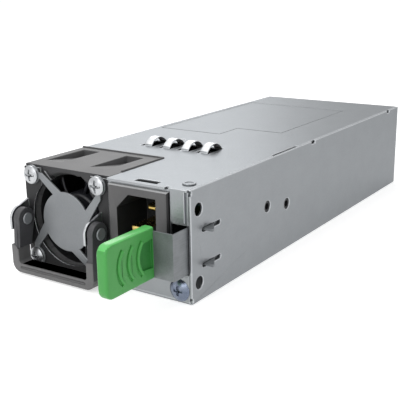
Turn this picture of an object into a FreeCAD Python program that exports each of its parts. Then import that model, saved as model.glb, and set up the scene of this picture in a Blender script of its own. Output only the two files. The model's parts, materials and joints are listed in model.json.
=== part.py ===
import FreeCAD, Part
import math
import os
import re
import Sketcher

V = FreeCAD.Vector
doc = FreeCAD.newDocument("server_power_supply")
sheet = doc.addObject("Spreadsheet::Sheet", "Sizes")

# Driving dimensions in millimetres. Names that end in _x are measured from the left wall's
# outer face, those in _y from the front edge of the cover, and those in _z from the underside.
SIZES = {
    # sheet metal
    "wall": 1.0,
    "cover_thick": 0.8,
    "seam": 0.1,
    "side_hole_radius": 2.2,
    "side_hole_y": 4.5,
    "side_hole_drop": 7.3,
    "side_hole_lower_z": 6.5,
    "wall_notch_front_y": 86.5,
    "wall_notch_rear_inset": 15.0,
    "wall_notch_length": 3.5,
    "wall_notch_depth": 1.2,
    "relief_radius": 0.8,
    "relief_inset": 1.3,
    # top cover
    "cover_slot_offset": 9.4,
    "cover_slot_y": 1.0,
    "cover_slot_width": 9.3,
    "cover_slot_length": 3.2,
    "cover_notch_inset": 1.5,
    "cover_notch_width": 1.4,
    "cover_notch_depth": 1.8,
    "seam_slot_y": 56.2,
    "seam_slot_length": 20.0,
    "seam_slot_width": 0.9,
    "front_flange_gap": 0.6,
    "front_flange_width": 5.5,
    "flange_latch_gap": 1.3,
    "window_x": 17.4,
    "window_y": 46.5,
    "window_width": 5.9,
    "window_length": 11.5,
    "window_pitch": 8.8,
    "window_count": 4,
    "finger_width": 3.5,
    "finger_thick": 0.35,
    "finger_rise": 3.0,
    "finger_root": 0.5,
    "finger_gap": 0.4,
    "finger_inset": 0.2,
    "dimple_y": 63.8,
    "dimple_left_x": 25.9,
    "dimple_pitch": 15.7,
    "dimple_radius": 1.3,
    "dimple_height": 0.35,
    "plate_mark_depth": 0.12,
    "plate_mark_x": 2.4,
    "plate_mark_front_y": 81.0,
    "plate_mark_step_y": 95.8,
    "plate_mark_rear_inset": 23.5,
    "plate_mark_step_x": 33.0,
    "plate_mark_right_x": 54.6,
    "cover_rivet_inset": 4.8,
    "cover_rivet_y": 6.4,
    "cover_rivet_radius": 2.3,
    "cover_rivet_height": 0.5,
    "cover_rivet_shank": 1.2,
    "cover_rivet_tail": 2.0,
    "cover_rivet_dish_radius": 1.4,
    # fan
    "fan_size": 37.8,
    "fan_depth": 28.0,
    "fan_side_gap": 0.1,
    "fan_top_gap": 0.2,
    "fan_rim": 2.4,
    "fan_mouth_rim": 1.1,
    "fan_mouth_depth": 2.6,
    "fan_screw_inset": 3.4,
    "fan_flange_overhang": 0.9,
    "fan_flange_thick": 1.6,
    "fan_duct": 3.5,
    "fan_lip_width": 0.8,
    "fan_lip_height": 0.5,
    "pocket_left_x": 3.7,
    "pocket_right_inset": 7.0,
    "pocket_width": 7.8,
    "pocket_front_y": 8.0,
    "pocket_rear_inset": 4.0,
    "pocket_depth": 3.0,
    "notch_inner": 0.5,
    "notch_apex": 6.5,
    "notch_outer": 11.0,
    "notch_drop": 1.8,
    "side_notch_inner": 7.5,
    "side_notch_apex": 9.2,
    "side_notch_outer": 11.0,
    "side_notch_drop": 3.6,
    "notch_fall": 3.2,
    "notch_rise": 1.6,
    "notch_depth": 10.0,
    "notch_back": 3.0,
    "strut_width": 2.0,
    "strut_depth": 2.4,
    "strut_root": 0.3,
    "motor_base_radius": 9.0,
    "motor_base_thick": 2.0,
    "motor_radius": 7.4,
    "motor_setback": 4.5,
    "hub_radius": 9.5,
    "hub_wall": 1.2,
    "hub_front_y": 5.5,
    "hub_rear_gap": 2.6,
    "hub_chamfer": 0.9,
    "boss_radius": 1.8,
    "boss_length": 2.4,
    "blade_count": 7,
    "blade_gap": 0.6,
    "blade_thick": 0.9,
    "blade_margin": 1.25,
    "blade_root": 0.6,
    "blade_stations": 5,
    "blade_root_twist": 30.0,
    "blade_tip_twist": 52.0,
    "blade_bow": 0.8,
    "shaft_radius": 0.8,
    "shaft_play": 0.06,
    # fan guard and its screws
    "guard_thick": 0.8,
    "guard_disc_radius": 11.0,
    "guard_leg_width": 2.3,
    "guard_leg_run": 5.0,
    "guard_root_inset": 0.4,
    "guard_root_z": 1.5,
    "guard_root_width": 3.0,
    "guard_root_rise": 2.5,
    "guard_eye_radius": 3.5,
    "screw_head_radius": 3.3,
    "screw_head_height": 1.5,
    "screw_chamfer": 0.5,
    "recess_length": 3.8,
    "recess_width": 0.8,
    "recess_depth": 0.7,
    "screw_shank_radius": 1.45,
    "screw_length": 10.0,
    "screw_play": 0.1,
    # fan bracket and pull handle
    "bracket_left_x": 0.2,
    "bracket_right_gap": 0.2,
    "bracket_foot": 0.2,
    "bracket_top_gap": 0.8,
    "bracket_dip_half": 11.2,
    "bracket_dip_slope": 0.6,
    "bracket_dip_z": 10.0,
    "bracket_tab_root": 11.8,
    "bracket_tab_root_drop": 5.4,
    "bracket_tab_peak": 9.8,
    "bracket_tab_peak_drop": 1.6,
    "bracket_tab_end": 6.6,
    "bracket_tab_end_drop": 4.7,
    "pivot_reach": 4.6,
    "ear_thick": 1.0,
    "ear_reach": 4.4,
    "ear_root_rise": 6.0,
    "ear_bottom_drop": 8.2,
    "ear_step_drop": 3.7,
    "ear_step": 1.7,
    "ear_root_drop": 11.8,
    "ear_root_depth": 2.6,
    "right_ear_inset": 4.5,
    "ear_gap": 0.3,
    "knuckle_radius": 4.0,
    "left_knuckle_width": 3.0,
    "right_knuckle_width": 2.6,
    "handle_pin_radius": 1.2,
    "handle_pin_play": 0.06,
    "pin_head_radius": 2.2,
    "pin_head_thick": 0.6,
    "pin_head_chamfer": 0.25,
    "grip_reach": 9.2,
    "grip_depth": 6.2,
    "grip_drop": 9.2,
    "grip_bottom_z": 0.4,
    "grip_bar": 3.4,
    "grip_wall": 3.3,
    "grip_round": 3.6,
    "grip_edge": 0.9,
    "grip_corner": 0.8,
    "groove_drop": 1.0,
    "groove_height": 0.7,
    "groove_depth": 0.4,
    "arm_overlap": 1.0,
    "arm_rear": 3.6,
    "arm_rear_drop": 1.7,
    "arm_front": 3.9,
    "arm_front_drop": 0.7,
    # mains inlet
    "bezel_gap": 0.8,
    "bezel_left_rim": 3.8,
    "bezel_right_rim": 4.8,
    "bezel_top_rim": 3.0,
    "bezel_bottom_rim": 1.6,
    "bezel_top_gap": 1.6,
    "bezel_thick": 1.5,
    "bezel_round": 0.9,
    "inlet_width": 16.2,
    "inlet_height": 24.4,
    "inlet_chamfer": 5.0,
    "inlet_depth": 16.5,
    "inlet_wall": 1.8,
    "inlet_back": 3.0,
    "inlet_body_wall": 1.0,
    "pin_width": 4.0,
    "pin_thick": 2.0,
    "pin_tail": 6.0,
    "pin_chamfer": 0.7,
    "earth_pin_offset": 6.0,
    "earth_pin_recess": 2.0,
    "line_pin_offset": 10.1,
    "line_pin_recess": 6.0,
    "line_pin_spacing": 14.0,
    # front plate
    "front_screw_inset": 5.0,
    "front_screw_z": 4.4,
    "front_screw_radius": 3.0,
    "front_screw_height": 1.4,
    "front_screw_length": 6.0,
    # latch
    "latch_bay": 7.1,
    "latch_bottom_z": 10.6,
    "latch_height": 15.9,
    "latch_slot_gap": 0.5,
    "latch_thick": 0.5,
    "latch_gap": 0.3,
    "latch_hinge_y": 45.0,
    "latch_anchor_length": 26.0,
    "latch_reach": 8.1,
    "latch_leg": 7.9,
    "tooth_front_y": 7.8,
    "tooth_length": 8.4,
    "tooth_thick": 1.0,
    "tooth_reach": 3.2,
    "tooth_flat": 0.8,
    "tooth_upper_z": 24.2,
    "tooth_lower_z": 11.9,
    "slit_height": 1.5,
    "slit_clearance": 0.6,
    "rivet_front_y": 50.2,
    "rivet_front_z": 21.0,
    "rivet_rear_y": 65.6,
    "rivet_rear_z": 18.3,
    "rivet_play": 0.1,
    "rivet_recess": 0.3,
    "rivet_well_radius": 1.3,
    "rivet_head_radius": 3.0,
    "rivet_head_thick": 0.6,
    "tab_thick": 4.0,
    "tab_length": 23.4,
    "tab_drop": 0.4,
    "tab_height": 17.6,
    "tab_round": 3.0,
    "grip_arc_radius": 7.0,
    "grip_arc_width": 0.9,
    "grip_arc_height": 0.5,
    "grip_arc_half": 5.2,
    "grip_arc_pitch": 4.5,
    "grip_arc_inset": 3.0,
    "grip_arc_count": 3,
    # board and what stands on it, laid out from the fan to the rear panel
    "board_z": 5.0,
    "board_thick": 1.6,
    "board_side_gap": 2.0,
    "board_fan_gap": 2.5,
    "board_rear_gap": 1.6,
    "tongue_width": 46.0,
    "tongue_reach": 9.0,
    "tongue_clearance": 1.4,
    "contact_count": 18,
    "contact_width": 1.5,
    "contact_length": 7.5,
    "contact_thick": 0.1,
    "contact_margin": 1.6,
    "contact_setback": 0.6,
    "standoff_radius": 2.6,
    "standoff_inset": 5.0,
    "sheet_thick": 0.3,
    "sheet_inset": 0.6,
    "sheet_play": 0.2,
    "choke_front_gap": 6.0,
    "choke_radius": 9.0,
    "choke_hole_radius": 3.6,
    "choke_height": 12.0,
    "choke_chamfer": 1.6,
    "choke_left_gap": 5.0,
    "choke_gap": 4.0,
    "film_capacitor_gap": 3.0,
    "film_capacitor_width": 17.0,
    "film_capacitor_length": 9.0,
    "film_capacitor_height": 17.0,
    "bulk_gap": 6.0,
    "bulk_radius": 10.0,
    "bulk_head_room": 2.6,
    "bulk_left_gap": 3.5,
    "bulk_pitch_gap": 1.5,
    "can_chamfer": 0.8,
    "boost_radius": 8.6,
    "boost_gap": 3.0,
    "sink_gap": 7.0,
    "sink_x": 6.0,
    "sink_length": 60.0,
    "sink_plate": 2.0,
    "sink_head_room": 3.6,
    "sink_foot": 6.0,
    "fin_reach": 9.0,
    "fin_thick": 1.0,
    "fin_count": 6,
    "core_inset": 6.0,
    "core_gap": 11.0,
    "core_width": 30.0,
    "core_length": 28.0,
    "core_height": 24.0,
    "core_limb": 5.0,
    "winding_out": 3.0,
    "winding_gap": 0.4,
    "winding_round": 2.4,
    "rear_sink_gap": 7.0,
    "rear_sink_side_gap": 6.5,
    "rear_sink_width": 42.0,
    "rear_sink_length": 26.0,
    "rear_sink_base": 2.5,
    "rear_fin_height": 22.0,
    "rear_fin_count": 9,
    "output_gap": 7.0,
    "output_radius": 4.0,
    "output_height": 15.0,
    "output_count": 5,
    "output_x": 13.0,
    "output_pitch": 12.0,
    "output_rear_gap": 5.4,
    # rear panel
    "vent_cell": 5.4,
    "vent_web": 1.0,
    "vent_margin": 3.0,
    "vent_bottom_z": 11.0,
}

for row, (alias, number) in enumerate(SIZES.items(), start=1):
    sheet.set(f"A{row}", alias)
    sheet.set(f"B{row}", str(number))
    sheet.setAlias(f"B{row}", alias)
doc.recompute()

pieces = []


def bind(text):
    # Writes the sheet's name before each size that the expression uses.
    return re.sub(r"[a-z_]+", lambda word: "Sizes." + word[0] if word[0] in SIZES else word[0], str(text))


def value(text):
    found = sheet.evalExpression(bind(text))
    return float(getattr(found, "Value", found))


# Lengths from the left wall's outer face, the bays side by side: fan, inlet, latch.
FAN_MIDDLE = "(wall + fan_side_gap + fan_size / 2)"
FAN_FLANGE_END = "(wall + fan_side_gap + fan_size + fan_flange_overhang)"
BEZEL_START = f"({FAN_FLANGE_END} + bezel_gap)"
BEZEL_WIDTH = "(bezel_left_rim + inlet_width + bezel_right_rim)"
BEZEL_END = f"({BEZEL_START} + {BEZEL_WIDTH})"
BODY_WIDTH = f"({BEZEL_END} + latch_bay + wall)"

# Lengths from the cover's front edge, zone after zone: fan, filter, storage, conversion, output.
FLANGE_END_Y = "(wall + fan_depth + fan_duct)"
BOARD_START = f"({FLANGE_END_Y} + board_fan_gap)"
CHOKE_Y = f"({BOARD_START} + choke_front_gap + choke_radius)"
BULK_Y = f"({CHOKE_Y} + choke_radius + bulk_gap + bulk_radius)"
SINK_Y = f"({BULK_Y} + bulk_radius + sink_gap)"
CORE_Y = f"({SINK_Y} + core_inset)"
REAR_SINK_Y = f"({CORE_Y} + core_length + winding_out + rear_sink_gap)"
OUTPUT_Y = f"({REAR_SINK_Y} + rear_sink_length + output_gap + output_radius)"
BOARD_END = f"({OUTPUT_Y} + output_radius + output_rear_gap)"
BODY_LENGTH = f"({BOARD_END} + board_rear_gap + wall)"


def across(text):
    return f"({text} - {BODY_WIDTH} / 2)"


def along(text):
    return f"({text} - {BODY_LENGTH} / 2)"


def keep(item, label):
    item.Label = label
    pieces.append(item)
    return item


def box(name, low, high):
    item = doc.addObject("Part::Box", name)
    for axis, side, start, end in zip("xyz", ("Length", "Width", "Height"), low, high):
        item.setExpression(f"Placement.Base.{axis}", bind(start))
        item.setExpression(side, bind(f"({end}) - ({start})"))
    return item


TURNS = {
    "x": FreeCAD.Rotation(V(0, 1, 0), 90),
    "y": FreeCAD.Rotation(V(1, 0, 0), -90),
    "z": FreeCAD.Rotation(),
}


def rod(name, axis, start, radius, length):
    # A cylinder that runs from start along the positive axis.
    item = doc.addObject("Part::Cylinder", name)
    item.Placement = FreeCAD.Placement(V(), TURNS[axis])
    for letter, text in zip("xyz", start):
        item.setExpression(f"Placement.Base.{letter}", bind(text))
    item.setExpression("Radius", bind(radius))
    item.setExpression("Height", bind(length))
    return item


def cone(name, axis, start, radius_start, radius_end, length):
    item = doc.addObject("Part::Cone", name)
    item.Placement = FreeCAD.Placement(V(), TURNS[axis])
    for letter, text in zip("xyz", start):
        item.setExpression(f"Placement.Base.{letter}", bind(text))
    item.setExpression("Radius1", bind(radius_start))
    item.setExpression("Radius2", bind(radius_end))
    item.setExpression("Height", bind(length))
    return item


def fuse(name, items):
    joined = doc.addObject("Part::MultiFuse", name)
    joined.Shapes = items
    joined.Refine = True
    return joined


def cut(name, base, tools):
    tool = tools[0] if len(tools) == 1 else fuse(name + "_tools", tools)
    left = doc.addObject("Part::Cut", name)
    left.Base = base
    left.Tool = tool
    left.Refine = True
    return left


def common(name, first, second):
    shared = doc.addObject("Part::Common", name)
    shared.Base = first
    shared.Tool = second
    return shared


def dressed(kind, name, base, amount, wanted):
    # Works the edges of base for which wanted(edge) is true.
    doc.recompute()
    size = value(amount)
    item = doc.addObject(kind, name)
    item.Base = base
    item.Edges = [(number, size, size)
                  for number, edge in enumerate(base.Shape.Edges, start=1) if wanted(edge)]
    return item


def rounded(name, base, radius, wanted):
    return dressed("Part::Fillet", name, base, radius, wanted)


def chamfered(name, base, amount, wanted):
    return dressed("Part::Chamfer", name, base, amount, wanted)


PLANES = {"xy": "XY_Plane", "xz": "XZ_Plane", "yz": "YZ_Plane"}


def new_body(name):
    return doc.addObject("PartDesign::Body", name)


def sketch_on(body, plane, level):
    sketch = body.newObject("Sketcher::SketchObject", f"{body.Name}_sketch")
    origin = [part for part in body.Origin.OriginFeatures if part.Role == PLANES[plane]][0]
    sketch.AttachmentSupport = [(origin, "")]
    sketch.MapMode = "FlatFace"
    sketch.setExpression("AttachmentOffset.Base.z", bind(level))
    return sketch


def tie(sketch, kind, place, text):
    # Adds a distance from the sketch's origin, or a radius, that follows the sheet.
    number = sketch.addConstraint(Sketcher.Constraint(kind, *place, value(text)))
    sketch.setExpression(f"Constraints[{number}]", bind(text))


def draw_lines(sketch, points):
    first = len(sketch.Geometry)
    count = len(points)
    corners = [V(value(u), value(v), 0) for u, v in points]
    for step in range(count):
        sketch.addGeometry(Part.LineSegment(corners[step], corners[(step + 1) % count]), False)
    for step in range(count):
        after = first + (step + 1) % count
        sketch.addConstraint(Sketcher.Constraint("Coincident", first + step, 2, after, 1))
    for step, (u, v) in enumerate(points):
        tie(sketch, "DistanceX", (-1, 1, first + step, 1), u)
        tie(sketch, "DistanceY", (-1, 1, first + step, 1), v)


def draw_circle(sketch, u, v, radius):
    number = len(sketch.Geometry)
    circle = Part.Circle(V(value(u), value(v), 0), V(0, 0, 1), value(radius))
    sketch.addGeometry(circle, False)
    tie(sketch, "DistanceX", (-1, 1, number, 3), u)
    tie(sketch, "DistanceY", (-1, 1, number, 3), v)
    tie(sketch, "Radius", (number,), radius)


def pad(body, plane, shapes, low, high):
    # Raises closed outlines between two levels of the plane's third axis.
    level = f"-({high})" if plane == "xz" else low
    sketch = sketch_on(body, plane, level)
    for shape in shapes:
        (draw_lines if isinstance(shape, list) else draw_hole)(sketch, shape)
    feature = body.newObject("PartDesign::Pad", f"{body.Name}_pad")
    feature.Profile = sketch
    feature.setExpression("Length", bind(f"({high}) - ({low})"))
    sketch.Visibility = False
    return feature


def draw_hole(sketch, shape):
    draw_circle(sketch, *shape)


def pocket(body, plane, shapes, low, high):
    # Sinks closed outlines between two levels of the plane's third axis.
    level = f"-({low})" if plane == "xz" else high
    sketch = sketch_on(body, plane, level)
    for shape in shapes:
        (draw_lines if isinstance(shape, list) else draw_hole)(sketch, shape)
    feature = body.newObject("PartDesign::Pocket", f"{body.Name}_pocket")
    feature.Profile = sketch
    feature.setExpression("Length", bind(f"({high}) - ({low})"))
    sketch.Visibility = False
    return feature


def frame_of(left, right, bottom, top):
    return [(left, bottom), (right, bottom), (right, top), (left, top)]


def repeat_row(body, features, axis_role, pitch, count):
    row = body.newObject("PartDesign::LinearPattern", f"{body.Name}_row")
    row.Originals = features
    axis = [part for part in body.Origin.OriginFeatures if part.Role == axis_role][0]
    row.Direction = (axis, [""])
    row.setExpression("Length", bind(f"({pitch}) * (({count}) - 1)"))
    row.setExpression("Occurrences", bind(count))
    body.Tip = row
    return row


LEFT = across("0")
RIGHT = across(BODY_WIDTH)
FRONT = along("0")
REAR = along(BODY_LENGTH)
INNER_LEFT = across("wall")
INNER_RIGHT = across(f"{BODY_WIDTH} - wall")
COVER_LEFT = f"({INNER_LEFT} + seam)"
COVER_RIGHT = f"({INNER_RIGHT} - seam)"
TOP = "(wall + fan_size + fan_top_gap)"
COVER_UNDER = f"({TOP} - cover_thick)"
BOARD_TOP = "(board_z + board_thick)"
HEAD_ROOM = f"({COVER_UNDER} - {BOARD_TOP})"
FAN_X = across(FAN_MIDDLE)
FAN_Z = "(wall + fan_size / 2 + fan_top_gap / 2)"
FAN_FRONT = along("wall")
FAN_REAR = along("wall + fan_depth")
FAN_BORE = "(fan_size / 2 - fan_rim)"
FLANGE_UNDER = f"({TOP} - fan_flange_thick)"
FLANGE_RIGHT = across(FAN_FLANGE_END)
FLANGE_REAR = along(FLANGE_END_Y)
HUB_FRONT = along("hub_front_y")
HUB_LENGTH = f"({FAN_REAR} - strut_depth - hub_rear_gap - {HUB_FRONT})"
MOTOR_LENGTH = f"({HUB_LENGTH} - motor_setback)"
BLADE_LENGTH = f"({HUB_LENGTH} - 2 * blade_margin)"
BLADE_TIP = f"({FAN_BORE} - blade_gap)"
BEZEL_LEFT = across(BEZEL_START)
INLET_LEFT = f"({BEZEL_LEFT} + bezel_left_rim)"
INLET_RIGHT = f"({INLET_LEFT} + inlet_width)"
BEZEL_RIGHT = f"({INLET_RIGHT} + bezel_right_rim)"
BEZEL_TOP = f"({TOP} - bezel_top_gap)"
INLET_TOP = f"({BEZEL_TOP} - bezel_top_rim)"
INLET_BOTTOM = f"({INLET_TOP} - inlet_height)"
PIVOT_Y = along("0 - pivot_reach")
BRACKET_LEFT = across("bracket_left_x")
BRACKET_RIGHT = f"({FLANGE_RIGHT} - bracket_right_gap)"
RIGHT_EAR = f"({FLANGE_RIGHT} - right_ear_inset)"
LEFT_KNUCKLE = f"({BRACKET_LEFT} + ear_thick + ear_gap)"
RIGHT_KNUCKLE = f"({RIGHT_EAR} + ear_thick + ear_gap)"
SHANK_HOLE = "(screw_shank_radius + screw_play)"
ARM_OUTER = f"({INNER_RIGHT} - latch_gap)"
ARM_INNER = f"({ARM_OUTER} - latch_thick)"
LATCH_LEG = f"({ARM_OUTER} - latch_leg)"
LATCH_CORNER = along("0 - latch_reach")
LATCH_TOP = "(latch_bottom_z + latch_height)"
TOOTH_REAR = "(tooth_front_y + tooth_length)"
TONGUE_LEFT = across(f"({BODY_WIDTH} - tongue_width) / 2")
TONGUE_RIGHT = f"({TONGUE_LEFT} + tongue_width)"


def capped(name, axis, start, radius, length, chamfer, near=False):
    # A cylinder with a chamfer round its far end, or round its near end.
    shift = dict(zip("xyz", start))
    plain, slope = dict(shift), dict(shift)
    if near:
        plain[axis] = f"{shift[axis]} + {chamfer}"
        radii = (f"{radius} - {chamfer}", radius)
    else:
        slope[axis] = f"{shift[axis]} + {length} - {chamfer}"
        radii = (radius, f"{radius} - {chamfer}")
    return fuse(name, [
        rod(name + "_round", axis, plain.values(), radius, f"{length} - {chamfer}"),
        cone(name + "_edge", axis, slope.values(), *radii, chamfer),
    ])


def base_chassis():
    body = new_body("chassis")
    pad(body, "xz", [[
        (LEFT, "0"), (RIGHT, "0"), (RIGHT, TOP), (INNER_RIGHT, TOP),
        (INNER_RIGHT, "wall"), (INNER_LEFT, "wall"), (INNER_LEFT, TOP), (LEFT, TOP),
    ]], FRONT, REAR)
    doc.recompute()
    # The fan's top flange covers the left wall's edge, and the bracket closes its front edge.
    pocket(body, "xz", [frame_of(LEFT, INNER_LEFT, FLANGE_UNDER, TOP)], FRONT, FLANGE_REAR)
    pocket(body, "yz", [frame_of(FRONT, FAN_FRONT, "wall + bracket_foot", TOP)], LEFT, INNER_LEFT)
    front_holes = [(along("side_hole_y"), height, "side_hole_radius")
                   for height in (f"({TOP} - side_hole_drop)", "side_hole_lower_z")]
    rivet_holes = [(along("rivet_front_y"), "rivet_front_z", "side_hole_radius"),
                   (along("rivet_rear_y"), "rivet_rear_z", "side_hole_radius")]
    corner_reliefs = [(FRONT, height, "relief_radius")
                      for height in (f"({TOP} - relief_inset)", "relief_inset")]
    pocket(body, "yz", front_holes + rivet_holes + corner_reliefs, INNER_RIGHT, RIGHT)
    slit_ends = (along("tooth_front_y - slit_clearance"), along(f"{TOOTH_REAR} + slit_clearance"))
    heights = ("tooth_upper_z", "tooth_lower_z")
    slits = [frame_of(*slit_ends, f"({height} - slit_height / 2)", f"({height} + slit_height / 2)")
             for height in heights]
    pocket(body, "yz", slits, INNER_RIGHT, RIGHT)
    doc.recompute()
    round_ends = [(end, height, "relief_radius") for height in heights for end in slit_ends]
    pocket(body, "yz", round_ends, INNER_RIGHT, RIGHT)
    notches = [frame_of(along(start), along(f"{start} + wall_notch_length"),
                        f"({TOP} - wall_notch_depth)", TOP)
               for start in ("wall_notch_front_y", f"({BODY_LENGTH} - wall_notch_rear_inset)")]
    pocket(body, "yz", notches, INNER_RIGHT, RIGHT)
    keep(body, "base_chassis")


def spring_finger(index):
    # A strip bowed to an arc, rooted in the window's front edge and free at the rear.
    root = "(window_y - finger_root)"
    span = "(window_length + finger_root - finger_gap)"
    rise = "(finger_rise + cover_thick)"
    radius = f"(({span} * {span} / 4 + {rise} * {rise}) / (2 * {rise}))"
    left = across(f"window_x + window_width - finger_width - finger_inset + {index} * window_pitch")
    centre_y = along(f"{root} + {span} / 2")
    centre_z = f"({TOP} + finger_rise - {radius})"
    outer = rod(f"finger_{index}_outer", "x", (left, centre_y, centre_z), radius, "finger_width")
    inner = rod(f"finger_{index}_inner", "x", (left, centre_y, centre_z),
                f"{radius} - finger_thick", "finger_width")
    shell = cut(f"finger_{index}_shell", outer, [inner])
    above = box(f"finger_{index}_above",
                (left, along(root), COVER_UNDER),
                (f"{left} + finger_width", along(f"{root} + {span}"), f"{TOP} + {rise}"))
    return common(f"finger_{index}", shell, above)


def top_cover():
    front = f"({FRONT} - cover_thick)"
    step_x = f"({FLANGE_RIGHT} + seam)"
    step_y = f"({FLANGE_REAR} + seam)"
    body = new_body("cover")
    pad(body, "xy", [[
        (step_x, front), (COVER_RIGHT, front), (COVER_RIGHT, REAR),
        (COVER_LEFT, REAR), (COVER_LEFT, step_y), (step_x, step_y),
    ]], COVER_UNDER, TOP)
    flange_left = f"({BEZEL_RIGHT} + front_flange_gap)"
    pad(body, "xz", [frame_of(flange_left, f"{flange_left} + front_flange_width",
                              f"{LATCH_TOP} + flange_latch_gap", TOP)], front, FRONT)
    doc.recompute()
    slot_left = f"({BEZEL_LEFT} + cover_slot_offset)"
    slot = frame_of(slot_left, f"{slot_left} + cover_slot_width",
                    along("cover_slot_y"), along("cover_slot_y + cover_slot_length"))
    notch_right = f"({BEZEL_RIGHT} - cover_notch_inset + cover_notch_width)"
    notch = frame_of(f"{BEZEL_RIGHT} - cover_notch_inset", notch_right, front, f"{front} + cover_notch_depth")
    seam_slot = frame_of(f"{COVER_RIGHT} - seam_slot_width", COVER_RIGHT,
                         along("seam_slot_y"), along("seam_slot_y + seam_slot_length"))
    pocket(body, "xy", [slot, notch, seam_slot], COVER_UNDER, TOP)
    rivet = (f"({RIGHT} - cover_rivet_inset)", along("cover_rivet_y"), "cover_rivet_shank + seam")
    pocket(body, "xy", [rivet], COVER_UNDER, TOP)
    mark_rear = along(f"{BODY_LENGTH} - plate_mark_rear_inset")
    mark = [
        (across("plate_mark_x"), along("plate_mark_front_y")),
        (across("plate_mark_step_x"), along("plate_mark_front_y")),
        (across("plate_mark_step_x"), along("plate_mark_step_y")),
        (across("plate_mark_right_x"), along("plate_mark_step_y")),
        (across("plate_mark_right_x"), mark_rear),
        (across("plate_mark_x"), mark_rear),
    ]
    pocket(body, "xy", [mark], f"{TOP} - plate_mark_depth", TOP)
    window = pocket(body, "xy", [frame_of(
        across("window_x"), across("window_x + window_width"),
        along("window_y"), along("window_y + window_length"))], COVER_UNDER, TOP)
    doc.recompute()
    repeat_row(body, [window], "X_Axis", "window_pitch", "window_count")
    fingers = [spring_finger(index) for index in range(int(value("window_count")))]
    dimples = [cone(f"dimple_{index}", "z", (across(f"dimple_left_x + {index} * dimple_pitch"),
                                             along("dimple_y"), TOP),
                    "dimple_radius", "dimple_radius - dimple_height", "dimple_height") for index in range(2)]
    keep(fuse("cover_with_fingers", [body] + fingers + dimples), "top_cover")


def front_plate():
    left = f"({FLANGE_RIGHT} + seam)"
    body = new_body("front")
    pad(body, "xz", [frame_of(left, COVER_RIGHT, "wall", f"{COVER_UNDER} - seam")], FRONT, along("wall"))
    doc.recompute()
    inlet_hole = frame_of(f"{INLET_LEFT} - inlet_wall - seam", f"{INLET_RIGHT} + inlet_wall + seam",
                          f"{INLET_BOTTOM} - inlet_body_wall - seam", f"{INLET_TOP} + inlet_body_wall + seam")
    latch_hole = frame_of(f"{BEZEL_RIGHT} + seam", COVER_RIGHT,
                          "latch_bottom_z - latch_slot_gap", f"{LATCH_TOP} + latch_slot_gap")
    screw_hole = (f"({RIGHT} - front_screw_inset)", "front_screw_z", SHANK_HOLE)
    pocket(body, "xz", [inlet_hole, latch_hole, screw_hole], FRONT, along("wall"))
    keep(body, "front_plate")


def screw(name, centre_x, seat_y, centre_z, head_radius, head_height, length):
    # A pan head with a cross recess, on a plain shank.
    front = f"({seat_y} - {head_height})"
    head = capped(name + "_head", "y", (centre_x, front, centre_z), head_radius, head_height,
                  "screw_chamfer", near=True)
    shank = rod(name + "_shank", "y", (centre_x, seat_y, centre_z), "screw_shank_radius", length)
    arms = []
    for label, wide, tall in (("level", "recess_length", "recess_width"),
                              ("upright", "recess_width", "recess_length")):
        arms.append(box(f"{name}_{label}", (f"{centre_x} - {wide} / 2", front, f"{centre_z} - {tall} / 2"),
                        (f"{centre_x} + {wide} / 2", f"{front} + recess_depth", f"{centre_z} + {tall} / 2")))
    keep(cut(name + "_cut", fuse(name + "_solid", [head, shank]), arms), name)


def fan_corners():
    reach = "(fan_size / 2 - fan_screw_inset)"
    return [(f"({FAN_X} + {side} * {reach})", f"({FAN_Z} + {level} * {reach})")
            for level in (1, -1) for side in (-1, 1)]


def fan_openings():
    # Two peaked openings above the bore, each beside one of the upper screws.
    outlines = []
    for side, inner, apex, outer, drop in (
            (1, "notch_inner", "notch_apex", "notch_outer", "notch_drop"),
            (-1, "side_notch_inner", "side_notch_apex", "side_notch_outer", "side_notch_drop")):
        places = [f"({FAN_X} + {side} * {name})" for name in (inner, apex, outer)]
        low = f"({FAN_Z} + notch_depth)"
        outline = [(places[0], low), (places[2], low), (places[2], f"{TOP} - {drop} - notch_fall"),
                   (places[1], f"{TOP} - {drop}"), (places[0], f"{TOP} - {drop} - notch_rise")]
        outlines.append(outline)
    return outlines


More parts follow.
